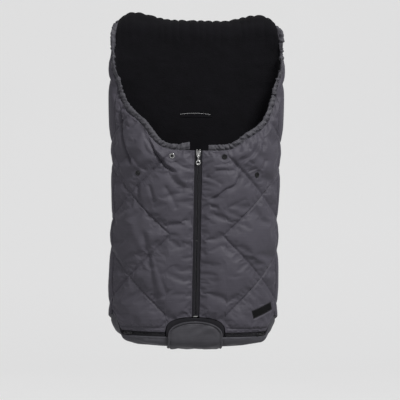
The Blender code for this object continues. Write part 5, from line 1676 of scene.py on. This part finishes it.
@dataclass(frozen=True)
class ZipLine:
    """The line of a coil zip on the doors' face: upright at the centre, or level where it has a height."""

    face: DoorFace
    level: float | None = None
    depth: float = 1.8 * MM
    coil_inner: float = -0.3 * MM
    coil_outer: float = 3.2 * MM
    coil_thick: float = 1.15 * MM
    filament: float = 0.36 * MM
    pitch: float = 1.5 * MM
    turn_points: int = 8
    tape_thick: float = 0.8 * MM

    def place(self, side: Side, along: Grid, across: Grid, deep: Grid) -> Grid:
        """Return points from their places along, across and through the zip."""
        if self.level is None:
            return self.face.place(side, across, along, self.depth + deep)
        return self.face.place(side, along, self.level + across, self.depth + deep)

    def build_coil(self, name: str, side: Side, low: float, high: float, way: int = 1) -> Thing:
        """Wind one coil as a flattened helix whose loops mesh with those of the other half.

        Args:
            name: the piece's name.
            side: the side of the muff.
            low: where the coil starts along the zip.
            high: where it ends.
            way: 1 for a half on a door, -1 for one on the gusset.

        Returns:
            The coil as one closed tube.
        """
        turns = (high - low) / self.pitch
        along = np.linspace(low, high, round(turns * self.turn_points) + 1)
        phase = (along - low) / self.pitch * 2 * math.pi
        if way * side.value < 0 and self.level is None or way < 0:
            phase = phase + math.pi
        middle = (self.coil_outer + self.coil_inner) / 2
        half = (self.coil_outer - self.coil_inner) / 2 - self.filament
        core = self.place(side, along, np.full_like(along, way * middle), 0 * along)
        across = way * (middle + half * np.cos(phase))
        centre = self.place(side, along, across, (self.coil_thick - self.filament) * np.sin(phase))
        tangent = unit(np.gradient(centre, axis=0))
        third = unit(np.cross(tangent, centre - core))
        radial = np.cross(third, tangent)
        spokes = (radial, third, -radial, -third)
        rings = np.stack([centre + spoke * self.filament for spoke in spokes], 1)
        spread = np.broadcast_to(np.stack([along, across], -1)[:, None], (len(along), 4, 2))
        return swept_tube(name, rings, spread, COIL)

    def build_tape(self, name: str, side: Side, along: Grid, low: Grid, high: Grid) -> Thing:
        """Weave one tape between two lines.

        Args:
            name: the piece's name.
            side: the side of the muff.
            along: places along the zip, close together.
            low: the near edge's place across the zip at each of them.
            high: the far edge's place there.

        Returns:
            The tape as one closed sheet, with a corded edge beside the coil.
        """
        share = np.concatenate([np.linspace(0, 0.2, 7), np.linspace(0.2, 1, 9)[1:]])
        run = np.broadcast_to(along[:, None], (len(along), len(share)))
        across = low[:, None] + (high - low)[:, None] * share
        cord = 0.3 * MM * bell(np.abs(across - low[:, None]) - 0.9 * MM, 0.5)
        ripple = 0.12 * MM * noise(41, run, across, 7, 9)
        outer = self.place(side, run, across, -self.tape_thick / 2 - cord + ripple)
        inner = self.place(side, run, across, self.tape_thick / 2 + ripple)
        return closed_sheet(name, outer, inner, np.stack([across, run], -1), TAPE)


@dataclass(frozen=True)
class CastPull:
    """The centre zip's pull: a long eye on the slider's lug, a short waist and an open ring at its end."""

    node: str = "zip_pull"
    body: str = "centre_pull"
    wire: float = 1.15 * MM
    eye_radius: float = 2.4 * MM
    eye_stretch: float = 1.6
    ring_radius: float = 3.9 * MM
    waist_half: float = 1.5 * MM
    flatness: float = 0.55

    def build(self) -> None:
        """Cast the pull from two flattened rings and a waist between them."""
        low, high = (Vector(corner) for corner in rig.box(self.node))
        middle = (low + high) / 2
        eye_reach = (self.eye_radius + self.wire) * self.eye_stretch
        eye = self.ring(Vector((middle.x, middle.y, high.z - eye_reach)), self.eye_radius, self.eye_stretch)
        foot = Vector((middle.x, middle.y, low.z + self.ring_radius + self.wire))
        ring = self.ring(foot, self.ring_radius, 1.0)
        top, base = high.z - 2 * eye_reach + self.wire, foot.z + self.ring_radius - self.wire / 2
        bpy.ops.mesh.primitive_cube_add(size=1.0, location=(middle.x, middle.y, (top + base) / 2))
        waist = bpy.context.object
        waist.scale = (2 * self.waist_half, 2 * self.wire * self.flatness, top - base)
        bpy.ops.object.transform_apply(location=True, rotation=True, scale=True)
        bevelled(waist, self.wire * self.flatness / 2, 2, 40)
        choose(ring)
        for thing in (eye, waist):
            thing.select_set(True)
        bpy.ops.object.join()
        ring.name = ring.data.name = f"{self.node}_cast"
        NICKEL.cover(ring)
        bpy.ops.object.shade_smooth_by_angle(angle=math.radians(40))
        settle(ring, self.body, Slot.NICKEL, (self.node,))

    def ring(self, centre: Vector, radius: float, stretch: float) -> Thing:
        """Turn one flattened ring that stands upright, taller than it is wide by its stretch."""
        bpy.ops.object.select_all(action="DESELECT")
        bpy.ops.mesh.primitive_torus_add(
            major_radius=radius, minor_radius=self.wire, major_segments=36, minor_segments=14,
            location=centre, rotation=(math.pi / 2, 0.0, 0.0),
        )
        thing = bpy.context.object
        bpy.ops.object.transform_apply(location=False, rotation=True, scale=False)
        thing.scale = (1.0, self.flatness, stretch)
        bpy.ops.object.transform_apply(location=True, rotation=False, scale=True)
        return thing


@dataclass
class CentreZip:
    """The centre zip: two tapes with their coils, top stops, retainer box, slider and pull."""

    line: ZipLine
    tape_near: float = 2.3 * MM
    tape_far: float = 19 * MM
    tape_top: float = -240 * MM
    tape_foot: float = -583.4 * MM
    coil_top: float = -244.2 * MM
    coil_foot: float = -581.1 * MM
    horn_flare: float = 0.4

    def build(self) -> None:
        """Build both halves and round the metal pieces."""
        along = np.linspace(self.tape_foot, self.tape_top, 120)
        for side in Side:
            body = f"{side.word}_front_door"
            near, far = np.full_like(along, self.tape_near), np.full_like(along, self.tape_far)
            tape = self.line.build_tape(f"{side.word}_centre_zip_tape", side, along, near, far)
            settle(tape, body, Slot.TAPE, (f"{side.word}_zip_tape",))
            size = (self.tape_far - self.tape_near, self.tape_top - self.tape_foot)
            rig.sheet(tape, flat=size, held="stretched")
            name = f"{side.word}_centre_zip_coil"
            coil = self.line.build_coil(name, side, self.coil_foot, self.coil_top)
            settle(coil, body, Slot.COIL, (f"{side.word}_zip_coil",))
            rounded_copy(f"{side.word}_zip_top_stop", body, Slot.NICKEL, 0.5 * MM)
        rounded_copy("zip_retainer_box", "right_front_door", Slot.NICKEL, 0.45 * MM)
        slider = rounded_copy("zip_slider", "centre_slider", Slot.NICKEL, 0.28 * MM)
        low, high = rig.box("zip_slider")
        middle, half = (low[2] + high[2]) / 2, (high[2] - low[2]) / 2
        for vertex in slider.data.vertices:
            vertex.co.x *= 1 + self.horn_flare * max(0.0, (vertex.co.z - middle) / half) ** 1.5
        CastPull().build()


@dataclass
class FootEnd:
    """The foot: its zips, the padded gusset with its lining, the tongue and the D-shaped flap."""

    line: ZipLine
    back: BackPanel
    zip_start: float = 62.5 * MM
    zip_end: float = 156.7 * MM
    coil_end: float = 151.7 * MM
    corner: float = 6
    tape_near: float = 2.3 * MM
    upper_reach: float = 14.6 * MM
    rim_drop: float = 5.0 * MM
    rim_gap: float = 0.3 * MM
    pan_depth: float = 23.8 * MM
    pan_y: float = -80 * MM
    pan_power: float = 3.0
    wall: float = 3 * MM
    fleece: float = 2.4 * MM
    tongue_margin: float = 1.5 * MM
    tongue_thick: float = 6 * MM
    flap_margin: float = 5.5 * MM
    flap_top_margin: float = 8 * MM
    flap_rise: float = 29 * MM
    flap_power: float = 2.1
    flap_stand_off: float = 3.2 * MM
    flap_wrap: float = 0.86
    flap_lining: float = 0.8 * MM
    flap_outer: float = 1.6 * MM
    flap_roll: float = 4.4 * MM
    flap_hinge: float = 10 * MM

    @property
    def face(self) -> DoorFace:
        """Return the doors' outer face."""
        return self.line.face

    @property
    def rim(self) -> float:
        """Return the height of the gusset's rim under the doors."""
        return self.line.level - self.rim_drop

    def rim_line(self, girth: Grid) -> Grid:
        """Return the height of the gusset's rim, which rises to the side seam with the doors' corners."""
        face = self.face
        corner = ease((girth - face.corner_start) / (face.seam - face.corner_start))
        door = face.foot + face.corner_rise * corner
        return door + (self.rim - face.foot) * (1 - corner) - self.rim_gap * corner

    def build_zips(self) -> None:
        """Build both foot zips, whose tapes run on round the corner to the side seam."""
        girth = np.linspace(self.zip_start, self.face.seam - 1 * MM, 70)
        past = ease(girth - self.zip_end, self.corner)
        door = self.face.foot_edge(girth) - self.line.level
        upper_low = self.tape_near + (door - 0.2 * MM - self.tape_near) * past
        upper_high = np.maximum(self.upper_reach, door + 8 * MM)
        lower_high = -self.tape_near + (door - 0.8 * MM + self.tape_near) * past
        lower_low = self.rim_line(girth) - self.line.level - 0.8 * MM
        for side in Side:
            stem = f"{side.word}_foot_zip"
            halves = (
                ("upper", f"{side.word}_front_door", 1, upper_low, upper_high, self.face.hinge(side)),
                ("lower", self.back.body, -1, lower_high, lower_low, None),
            )
            for word, body, way, near, far, bend in halves:
                tape = self.line.build_tape(f"{stem}_{word}_band", side, girth, near, far)
                settle(tape, body, Slot.TAPE, (f"{stem}_{word}_tape",), bend)
                declare(tape, float(girth[-1] - girth[0]), float(np.abs(far - near).max()), "stretched")
                coil = self.line.build_coil(f"{stem}_{word}_helix", side, self.zip_start, self.coil_end, way)
                settle(coil, body, Slot.COIL, (f"{stem}_{word}_coil",))
            rounded_copy(f"{stem}_slider", f"{side.word}_foot_slider", Slot.BLACK_METAL, 0.28 * MM)
            rounded_copy(f"{stem}_pull", f"{side.word}_foot_pull", Slot.BLACK_METAL, 0.3 * MM)

    def outline(self, inset: float) -> Grid:
        """Return the bag's outline at the foot, all the way round, inset from its outer face."""
        girth = np.linspace(0, self.face.seam, 84)
        plan, out = self.face.plan(girth)
        front = plan - out * inset
        front[:, 2] = self.rim_line(girth)
        across = np.linspace(2, -2, 141)[None, 1:-1]
        points, normal = self.back.offset(across, self.back.face.foot_path(across))
        behind = points[0] + normal[0] * inset
        behind[:, 2] -= self.rim_gap
        return np.concatenate([front, behind, front[:0:-1] * np.array((-1, 1, 1))])

    def pan(self, inset: float, rings: int = 22) -> Grid:
        """Return the gusset pan's rings of points, from its rim to its middle."""
        x, y, z = self.outline(inset).T[:, None]
        turn = (np.linspace(0, 0.93, rings) ** 1.7 * math.pi / 2)[:, None]
        inward, down = np.cos(turn) ** (2 / self.pan_power), np.sin(turn) ** (2 / self.pan_power)
        deep = z * (1 - down) + (self.rim - self.pan_depth + inset) * down
        return np.stack([x * inward, self.pan_y + (y - self.pan_y) * inward, deep], -1)

    def build_gusset(self) -> None:
        """Build the gusset, puckered along its zip and piped at its rim, and its fleece lining."""
        rings = self.pan(0.0)
        girth = np.cumsum(np.linalg.norm(rings[0] - np.roll(rings[0], 1, 0), axis=1))
        depth = np.linalg.norm(rings - rings[:1], axis=-1)
        pucker = 1.5 * MM * noise(51, girth, depth, 7, 30) * fall(depth, 10)
        wrinkle = 1.9 * MM * noise(52, girth, depth, 24, 12) * ease(depth, 8)
        roll = 0.7 * MM * bell(depth - 2.2 * MM, 1.4)
        swell = pucker + wrinkle * (1 - ease(depth - 24 * MM, 30)) + roll
        swell = swell * ease(girth, 12) * ease(girth[-1] - girth, 12) * ease(depth, 2)
        outer = rings + ring_normals(rings) * swell[..., None]
        spread = np.stack(np.broadcast_arrays(girth, depth), -1)
        gusset = closed_bowl("foot_gusset", outer, self.pan(self.wall), spread, CASING)
        settle(gusset, self.back.body, Slot.CASING, ("foot_gusset_outer",))
        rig.padded(gusset, fill=0.35)
        low = self.wall + self.rim_gap
        lining = closed_bowl("foot_gusset_fleece", self.pan(low), self.pan(low + self.fleece), spread, FLEECE)
        settle(lining, self.back.body, Slot.FLEECE, ("foot_gusset_lining",))
        wide = float(np.ptp(np.array(lining.bound_box)[:, 0]))
        area = cloth_area(lining)
        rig.sheet(lining, flat=(wide, area / wide), held="stretched", area=area)

    @staticmethod
    def arched(half: float, rise: float, rows: int, roundness: float) -> tuple[Grid, Grid]:
        """Return the half width and the drop of an arched top at so many rows, from its crown down."""
        turn = np.linspace(0.03, math.pi / 2, rows)
        power = 2 / roundness
        return half * np.sin(turn) ** power, rise * (1 - np.abs(np.cos(turn)) ** power)

    def build_tongue(self) -> None:
        """Build the padded tongue behind the flap, whose arched top shows as a black band."""
        half = self.face.arch_half - self.tongue_margin
        rise = self.face.arch_rise - self.tongue_margin
        wide, drop = self.arched(half, rise, 16, self.face.arch_power)
        straight = np.linspace(rise, self.face.foot + rise - self.rim - self.rim_gap, 7)[1:]
        wide = np.concatenate([wide, np.full(len(straight), half)])
        level = self.face.foot + rise - np.concatenate([drop, straight])
        x = wide[:, None] * np.sin(np.linspace(-1, 1, 41) * math.pi / 2)
        z = np.broadcast_to(level[:, None], x.shape)
        edge = np.minimum(wide[:, None] - np.abs(x), (level[0] - z) * 1.4 + 0.4 * MM)
        outer = np.stack([x, self.face.front + 2 * MM * rolled(edge, 2.5), z], -1)
        inner = np.stack([x, np.full_like(x, self.face.front + self.tongue_thick), z], -1)
        tongue = closed_sheet("foot_tongue_padded", outer, inner, np.stack([x, z], -1), TAPE)
        settle(tongue, self.back.body, Slot.TAPE, ("foot_tongue",))
        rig.padded(tongue, fill=0.5)

    def flap_grid(self) -> tuple[Grid, Grid, Grid]:
        """Return the points on the flap's inner side, its outward directions and its flat map."""
        half = self.face.arch_half - self.flap_margin
        top = self.face.foot + self.face.arch_rise - self.flap_top_margin
        wide, drop = self.arched(half, self.flap_rise, 30, self.flap_power)
        level = np.concatenate([top - drop, np.linspace(top - self.flap_rise, self.rim, 4)[1:]])
        share = np.linspace(0, 1, 24)[1:] ** 1.6
        turn = share * self.flap_wrap * math.pi / 2
        power = 2 / self.pan_power
        bottom = self.pan_y + (self.face.front - self.pan_y) * np.cos(turn) ** power
        y = np.concatenate([np.full(len(level), self.face.front), bottom])
        z = np.concatenate([level, self.rim - self.pan_depth * np.sin(turn) ** power])
        lean = np.concatenate([np.zeros(len(level)), turn])
        lift = np.concatenate([np.ones(len(level)), 1 - share])
        wide = np.concatenate([wide, np.full(len(z) - len(wide), half)])
        x = wide[:, None] * np.sin(np.linspace(-1, 1, 53) * math.pi / 2)
        out = np.stack([0 * lean, -np.cos(lean), -np.sin(lean)], -1)
        stand = self.rim_gap + (self.flap_stand_off - self.rim_gap) * lift
        middle = np.stack([0 * y, y, z], -1) + out * stand[:, None]
        points = np.broadcast_to(middle[:, None], (*x.shape, 3)).copy()
        points[..., 0] = x
        flat = np.stack(np.broadcast_arrays(x, travelled(middle)[:, None]), -1)
        return points, np.broadcast_to(out[:, None], points.shape), flat

    def build_flap(self) -> None:
        """Build the flap with its bound edge, stitched panel and soft creases, and its lining."""
        points, out, flat = self.flap_grid()
        rim = np.concatenate([flat[0], flat[:, 0], flat[:, -1]])
        edge = np.linalg.norm(flat[:, :, None] - rim[None, None], axis=-1).min(-1)
        across, along = flat[..., 0], flat[..., 1]
        crease = 2.2 * MM * noise(61, across / (19 * MM) + along / (30 * MM), along / (14 * MM))
        crease += 0.35 * MM * noise(62, across, along, 7, 8)
        swell = 1.3 * MM * bell(edge - 2.1 * MM, 1.6) - 1.5 * MM * bell(edge - self.flap_roll, 0.9)
        swell = swell + 1.2 * MM * ease(edge - self.flap_roll, 8) + crease * ease(edge, 8)
        swell = swell - 0.7 * MM * rolled(edge, 1.2)
        start = self.flap_lining + self.rim_gap
        outer = points + out * (start + self.flap_outer + swell)[..., None]
        flap = closed_sheet("foot_flap_panel", outer, points + out * start, flat, FLAP)
        middle = points.shape[1] // 2
        above = int(np.searchsorted(along[:, 0], along[-1, 0] - self.flap_hinge))
        bend = (Vector(points[-1, middle]), Vector(points[above, middle]))
        settle(flap, "foot_flap", Slot.FLAP, ("foot_flap_outer",), bend)
        lining = closed_sheet("foot_flap_backing", points + out * self.flap_lining, points, flat, TAPE)
        settle(lining, "foot_flap", Slot.TAPE, ("foot_flap_lining",), bend)
        for sheet in (flap, lining):
            declare(sheet, 2 * float(across.max()), float(along.max()), "folded")
        last, path = points.shape[1] - 1, []
        # The columns crowd towards the edges, so these rows of points lie 3.6 and 6.5 mm inside the edge.
        for column, row in ((6, 10), (8, 14)):
            path += [(step, column) for step in range(len(points) - 2, row, -1)]
            path += [(row, step) for step in range(column, last + 1 - column)]
            path += [(step, last - column) for step in range(row, len(points) - 1)]
        index = tuple(np.array(path).T)
        row = stitch_row("foot_flap_stitching", outer[index], out[index], THREAD, 2.6 * MM)
        settle(row, "foot_flap", bend=bend)

    def build(self) -> None:
        """Build the whole foot end."""
        self.build_zips()
        self.build_gusset()
        self.build_tongue()
        self.build_flap()


@dataclass
class PressStud:
    """One press stud: a rolled ring round a dished cap with a small boss."""

    node: str
    body: str
    angle: float
    slot: Slot
    finish: Finish
    radius: float = 5.4 * MM
    height: float = 2.0 * MM
    ring: float = 2.3 * MM
    dish: float = 1.4 * MM
    cap: float = 1.0 * MM
    boss: float = 0.6 * MM

    def build(self) -> None:
        """Turn the ring and the cap from a cylinder each, and seat them on the node's place."""
        low, high = (Vector(corner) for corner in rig.box(self.node))
        hole = self.radius - self.ring
        ring = self.turned(f"{self.node}_ring", self.radius, self.height, self.ring, -self.dish)
        cap = self.turned(f"{self.node}_cap", hole - 0.1 * MM, self.cap, hole / 2, self.boss)
        cap.data.transform(Matrix.Translation((0.0, 0.0, -self.cap / 3)))
        stand = Matrix.Translation((low + high) / 2) @ Matrix.Rotation(self.angle, 4, "Z")
        for thing, finish, slot in ((ring, self.finish, self.slot), (cap, BLACK_METAL, Slot.BLACK_METAL)):
            finish.cover(thing)
            thing.data.transform(stand @ Matrix.Rotation(math.pi / 2, 4, "X"))
            settle(thing, self.body, slot, (self.node,) if thing is ring else ())

    @staticmethod
    def turned(name: str, radius: float, height: float, inset: float, lift: float) -> Thing:
        """Turn a disc with one step in its face.

        Args:
            name: the piece's name.
            radius: its outer radius.
            height: its height at the rim.
            inset: width of the rim.
            lift: how far the face inside the rim is raised.

        Returns:
            The disc at the origin, facing up.
        """
        bpy.ops.object.select_all(action="DESELECT")
        bpy.ops.mesh.primitive_cylinder_add(vertices=40, radius=radius, depth=height)
        thing = bpy.context.object
        thing.name = thing.data.name = name
        bpy.ops.object.mode_set(mode="EDIT")
        bpy.ops.mesh.select_all(action="DESELECT")
        bpy.ops.object.mode_set(mode="OBJECT")
        for face in thing.data.polygons:
            face.select = face.normal.z > 0.9
        bpy.ops.object.mode_set(mode="EDIT")
        bpy.ops.mesh.select_mode(type="FACE")
        bpy.ops.mesh.inset(thickness=inset, depth=0.0)
        bpy.ops.mesh.extrude_region_move(TRANSFORM_OT_translate={"value": (0.0, 0.0, lift)})
        bpy.ops.object.mode_set(mode="OBJECT")
        bevelled(thing, min(inset, height) / 4, 3, 50)
        return thing


@dataclass
class SewnLabel:
    """The bare woven label on the right door, sewn down all round."""

    door: "FrontDoor"
    thick: float = 0.8 * MM

    def build(self) -> None:
        """Lay the label on the quilt and sew it down."""
        door, place = self.door, self.door.label
        halves = (place.width / 2, place.height / 2)
        along, across = np.meshgrid(*(fine_steps(-half, half, 1.6 * MM, 2 * MM, 0.5 * MM) for half in halves))
        girth, z = place.spots(along, across)
        seat = door.outer_depth(girth, z)
        for _ in range(3):
            seat = np.minimum(seat, smoothed(seat))
        edge = np.minimum(place.width / 2 - np.abs(along), place.height / 2 - np.abs(across))
        fold = 0.25 * MM * (1 - ease(edge, 1))
        inner = door.face.place(door.side, girth, z, seat - 0.1 * MM)
        outer = door.face.place(door.side, girth, z, seat - 0.1 * MM - self.thick + fold)
        label = closed_sheet("bare_woven_label", outer, inner, np.stack([along, across], -1), LABEL)
        settle(label, door.body, Slot.LABEL, ("sewn_label",))
        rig.sheet(label, flat=(place.width, place.height), held="laid")
        share = np.linspace(0, 4, 321)
        along = np.interp(share, range(5), (-1, 1, 1, -1, -1)) * (place.width / 2 - 1.3 * MM)
        across = np.interp(share, range(5), (-1, -1, 1, 1, -1)) * (place.height / 2 - 1.3 * MM)
        girth, z = place.spots(along, across)
        points = door.face.place(door.side, girth, z, door.outer_depth(girth, z) - 1.0 * MM)
        row = stitch_row("bare_woven_label_stitching", points, door.outward(girth), THREAD, 2.4 * MM)
        settle(row, door.body)


@dataclass
class SlotLips:
    """The bound edges of one harness slot: two soft lips that nearly close it, and a piping between them."""

    back: BackPanel
    word: str
    path: float
    arch: float = 2.6 * MM
    gap: float = 0.5 * MM
    overlap: float = 1.4 * MM
    roll: float = 0.3 * MM

    def seam(self, x: Grid) -> Grid:
        """Return the path position of the line at which the lips meet, arched upwards."""
        return self.path - self.arch * (1 - (x / self.back.slot_half_width) ** 2) + self.arch / 2

    def at(self, x: Grid, path: Grid, deep: Grid) -> Grid:
        """Return points on the panel's flat part at a depth from its outer face."""
        spine, out = self.back.face.spine(path)
        points = spine + out * np.asarray(deep)[..., None]
        points[..., 0] = x
        return points

    def build(self) -> None:
        """Build both lips and the piping."""
        half = self.back.slot_half_width + self.overlap
        x = np.linspace(-half, half, 57)
        share = np.concatenate([np.linspace(0, 0.7, 7), [0.8, 0.88, 0.94, 0.98, 1.0]])[:, None]
        top = self.back.fleece_top + self.back.fleece_thick
        for word, way in (("upper", -1), ("lower", 1)):
            start = np.full_like(x, self.path + way * (self.back.slot_half_height + self.overlap))
            end = self.seam(x) + way * self.gap / 2
            path = start + (end - start) * share
            across = np.broadcast_to(x, path.shape)
            wave = 0.3 * MM * noise(71, across, path, 9, 6)
            edge = np.sqrt(1 - np.clip((share - 0.7) / 0.3, 0, 1) ** 2) * 0.85 + 0.15
            tips = ease(half - np.abs(across), 3) * 0.5 + 0.5
            sunk = 0.8 * MM * share + wave
            face = self.at(across, path, top + 0.6 * MM - sunk)
            rear = self.at(across, path, top + 0.6 * MM - sunk - 3.4 * MM * edge * tips)
            name = f"{self.word}_slot_{word}_lip"
            lip = closed_sheet(name, face, rear, np.stack([across, path], -1), FLEECE)
            stands_for = (f"{self.word}_slot_binding",) if word == "upper" else ()
            settle(lip, self.back.body, Slot.FLEECE, stands_for)
            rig.padded(lip, fill=0.4)
        run = np.linspace(-self.back.slot_half_width, self.back.slot_half_width, 90)
        middle = self.at(run, self.seam(run) - 0.3 * MM, np.full_like(run, top - 0.4 * MM))
        back = np.array((0.0, 1.0, 0.0))
        side = unit(np.cross(np.gradient(middle, axis=0), back))
        turn = np.linspace(0, 2 * math.pi, 9)[:-1]
        spokes = side[:, None] * np.cos(turn)[:, None] + back * np.sin(turn)[:, None]
        spread = np.stack(np.broadcast_arrays(run[:, None], turn * self.roll), -1)
        rings = middle[:, None] + spokes * self.roll
        settle(swept_tube(f"{self.word}_slot_piping", rings, spread, PALE_THREAD), self.back.body)


@dataclass
class Studio:
    """The floor, backdrop, lights and the camera at the photograph's angle."""

    yaw: float = 3.99
    pitch: float = -1.50
    roll: float = 1.01
    distance: float = 3.5
    aim: tuple[float, float, float] = (9.5 * MM, -70 * MM, -343.5 * MM)
    focal_pixels: float = 1667.4
    frame_pixels: float = 400.0
    floor: float = -1.15
    wall: float = 4.6
    bend: float = 1.2
    wide: float = 18.0

    def build_camera(self) -> None:
        """Stand the camera where the photograph was taken from."""
        yaw, pitch, roll = (math.radians(angle) for angle in (self.yaw, self.pitch, self.roll))
        ahead = Vector((math.sin(yaw) * math.cos(pitch), math.cos(yaw) * math.cos(pitch), math.sin(pitch)))
        level = Vector((math.cos(yaw), -math.sin(yaw), 0.0))
        upright = level.cross(ahead)
        right = level * math.cos(roll) + upright * math.sin(roll)
        up = upright * math.cos(roll) - level * math.sin(roll)
        camera = bpy.data.cameras.new("camera")
        camera.sensor_width = 36.0
        camera.lens = self.focal_pixels / self.frame_pixels * camera.sensor_width
        camera.clip_end = 50.0
        stand = bpy.data.objects.new("camera", camera)
        turn = Matrix((right, up, -ahead)).transposed().to_4x4()
        stand.matrix_world = Matrix.Translation(Vector(self.aim) - ahead * self.distance) @ turn
        bpy.context.scene.collection.objects.link(stand)
        bpy.context.scene.camera = stand

    def build_sweep(self) -> None:
        """Lay the pale floor and curve it up into the backdrop."""
        turn = np.linspace(0, math.pi / 2, 25)
        curve = zip(self.wall - self.bend * (1 - np.sin(turn)), self.floor + self.bend * (1 - np.cos(turn)))
        profile = [(-6.0, self.floor), *curve, (self.wall, 5.0)]
        points = np.array([[(x, y, z) for x in (-self.wide / 2, self.wide / 2)] for y, z in profile])
        faces = [(2 * i, 2 * i + 1, 2 * i + 3, 2 * i + 2) for i in range(len(profile) - 1)]
        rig.stage(link_mesh("studio_sweep", points, faces, PAINT))

    def build_light(self, name: str, place: tuple[float, float, float], size: float, power: float) -> None:
        """Hang one soft square lamp aimed at the muff."""
        lamp = bpy.data.lights.new(name, "AREA")
        lamp.shape = "SQUARE"
        lamp.size = size
        lamp.energy = power
        thing = bpy.data.objects.new(name, lamp)
        ahead = (Vector(self.aim) - Vector(place)).normalized()
        thing.matrix_world = Matrix.Translation(place) @ ahead.to_track_quat("-Z", "Y").to_matrix().to_4x4()
        bpy.context.scene.collection.objects.link(thing)

    def build_world(self) -> None:
        """Fill the shadows with an even pale sky."""
        world = bpy.data.worlds.new("studio")
        world.use_nodes = True
        sky = world.node_tree.nodes["Background"]
        sky.inputs["Color"].default_value = linear("e8e8ea")
        sky.inputs["Strength"].default_value = 0.3
        bpy.context.scene.world = world

    def build(self) -> None:
        """Build the whole studio."""
        bpy.context.scene.view_settings.view_transform = "Standard"
        self.build_camera()
        self.build_sweep()
        self.build_light("key_lamp", (1.5, -1.9, 2.2), 1.0, 108.0)
        self.build_light("fill_lamp", (-2.4, -2.6, 0.8), 2.0, 26.0)
        self.build_world()


LEFT_WAVES = ((120 * MM, 28 * MM, 23 * MM),)
RIGHT_WAVES = ((105 * MM, 22 * MM, 9 * MM), (150 * MM, 16 * MM, -9 * MM))
LEFT_FOLDS = (
    Fold(((174, -146), (172, -165), (167, -194), (159, -219), (153, -238), (147, -257), (136, -275)),
         -2.8, 5, -1.6, 0.9),
    Fold(((117, -188), (110, -207), (100, -224), (92, -238), (79, -256), (68, -272), (57, -279), (42, -289)),
         -3.0, 4.5, -2.2, 0.8),
    Fold(((114, -205), (110, -236), (99, -248), (86, -254)), -2.0, 6),
    Fold(((96, -280), (70, -278)), -1.6, 3.5),
    Fold(((146, -246), (132, -260), (120, -273), (103, -286)), -1.7, 4),
    Fold(((127, -312), (123, -329), (120, -348)), -1.8, 4),
    Fold(((100, -310), (93, -329), (87, -350)), -2.2, 4.5),
    Fold(((64, -280), (54, -298), (43, -309), (24, -317)), -3.0, 8),
    Fold(((46, -284), (35, -302), (20, -309)), 2.0, 8),
    Fold(((54, -262), (36, -273), (16, -280)), -1.8, 4),
    Fold(((70, -311), (57, -329), (49, -345), (42, -364)), -2.0, 6),
    Fold(((180, -258), (170, -279), (164, -296), (153, -318)), -1.8, 4),
    Fold(((90, -232), (80, -246), (66, -262)), 1.8, 5),
    Fold(((112, -402), (103, -440), (95, -475), (86, -520), (77, -568)), -2.2, 7),
    Fold(((96, -402), (92, -440), (84, -480), (76, -520), (66, -560)), 1.6, 8),
    Fold(((90, -450), (80, -480), (69, -512), (59, -545)), -1.8, 6),
    Fold(((150, -350), (138, -390), (118, -430), (96, -458)), 1.4, 9),
)
RIGHT_FOLDS = (
    Fold(((127, -208), (127, -225), (121, -239), (110, -250), (92, -259), (84, -271), (80, -284)),
         -0.8, 6, 2.4, 0.5),
    Fold(((84, -282), (84, -295), (79, -305), (74, -312), (57, -319), (48, -327), (38, -335), (18, -344)),
         -2.2, 5, -1.2, 0.5),
    Fold(((30, -281), (84, -281)), -1.6, 5),
    Fold(((12, -291), (32, -300), (52, -311)), -1.8, 6),
    Fold(((145, -254), (132, -278)), -1.6, 4),
    Fold(((101, -259), (116, -267)), -1.6, 3),
    Fold(((105, -282), (125, -274)), -1.6, 4),
    Fold(((109, -210), (103, -238)), -2.0, 4),
    Fold(((90, -228), (82, -242)), -2.0, 4),
    Fold(((26, -355), (44, -355)), -1.6, 4),
    Fold(((56, -358), (81, -346), (102, -336)), -1.6, 6),
    Fold(((150, -190), (140, -215), (134, -240)), -1.8, 5),
    Fold(((46, -480), (50, -520), (44, -570)), 1.4, 9),
    Fold(((98, -500), (92, -545), (96, -590)), -1.3, 9),
)


def main() -> None:
    """Dress the whole footmuff."""
    face = DoorFace()
    # The cloth of the doors hangs 3 mm lower over the foot zip than their solids.
    hanging = DoorFace(foot=face.foot - 3 * MM, arch_rise=face.arch_rise + 3 * MM)
    quilting = Quilting()
    label = LabelPlace(face.girth_at(140 * MM))
    for side, folds, waves in ((Side.LEFT, LEFT_FOLDS, LEFT_WAVES), (Side.RIGHT, RIGHT_FOLDS, RIGHT_WAVES)):
        draped = replace(hanging, neck_waves=waves)
        door = FrontDoor(side, draped, quilting, folds, label if side is Side.RIGHT else None)
        door.build()
        for word, (x, _) in zip(("upper", "lower"), door.studs):
            round_corner = face.girth_at(x) - face.flat_half if x > face.flat_half else 0.0
            angle = side.value * round_corner / face.radius
            bright = side is Side.LEFT and word == "upper"
            slot, finish = (Slot.NICKEL, NICKEL) if bright else (Slot.BLACK_METAL, BLACK_METAL)
            PressStud(f"{side.word}_front_{word}_press_stud", door.body, angle, slot, finish).build()
    SewnLabel(door).build()
    back = BackPanel(BackFace(face), quilting)
    back.build()
    SlotLips(back, "shoulder", back.shoulder_slot).build()
    SlotLips(back, "crotch", back.crotch_slot).build()
    CentreZip(ZipLine(face)).build()
    FootEnd(ZipLine(face, level=face.foot - 7.5 * MM), back).build()
    slots = {part["node"]: part["material_slot"] for part in frame["record"]["subparts"]}
    for name, node in frame["nodes"].items():
        if not node.hide_render:
            NODE_FINISHES[slots[name]].cover(node)
    Studio().build()


if __name__ == "__main__":
    logging.basicConfig(level=logging.INFO, format="%(message)s")
    main()
    sizes = {"cad": [list(corner) for corner in CAD_BOX], "visual": [list(corner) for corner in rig.bounds()]}
    with open("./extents.json", "w", encoding="utf-8") as report:
        json.dump(sizes, report)
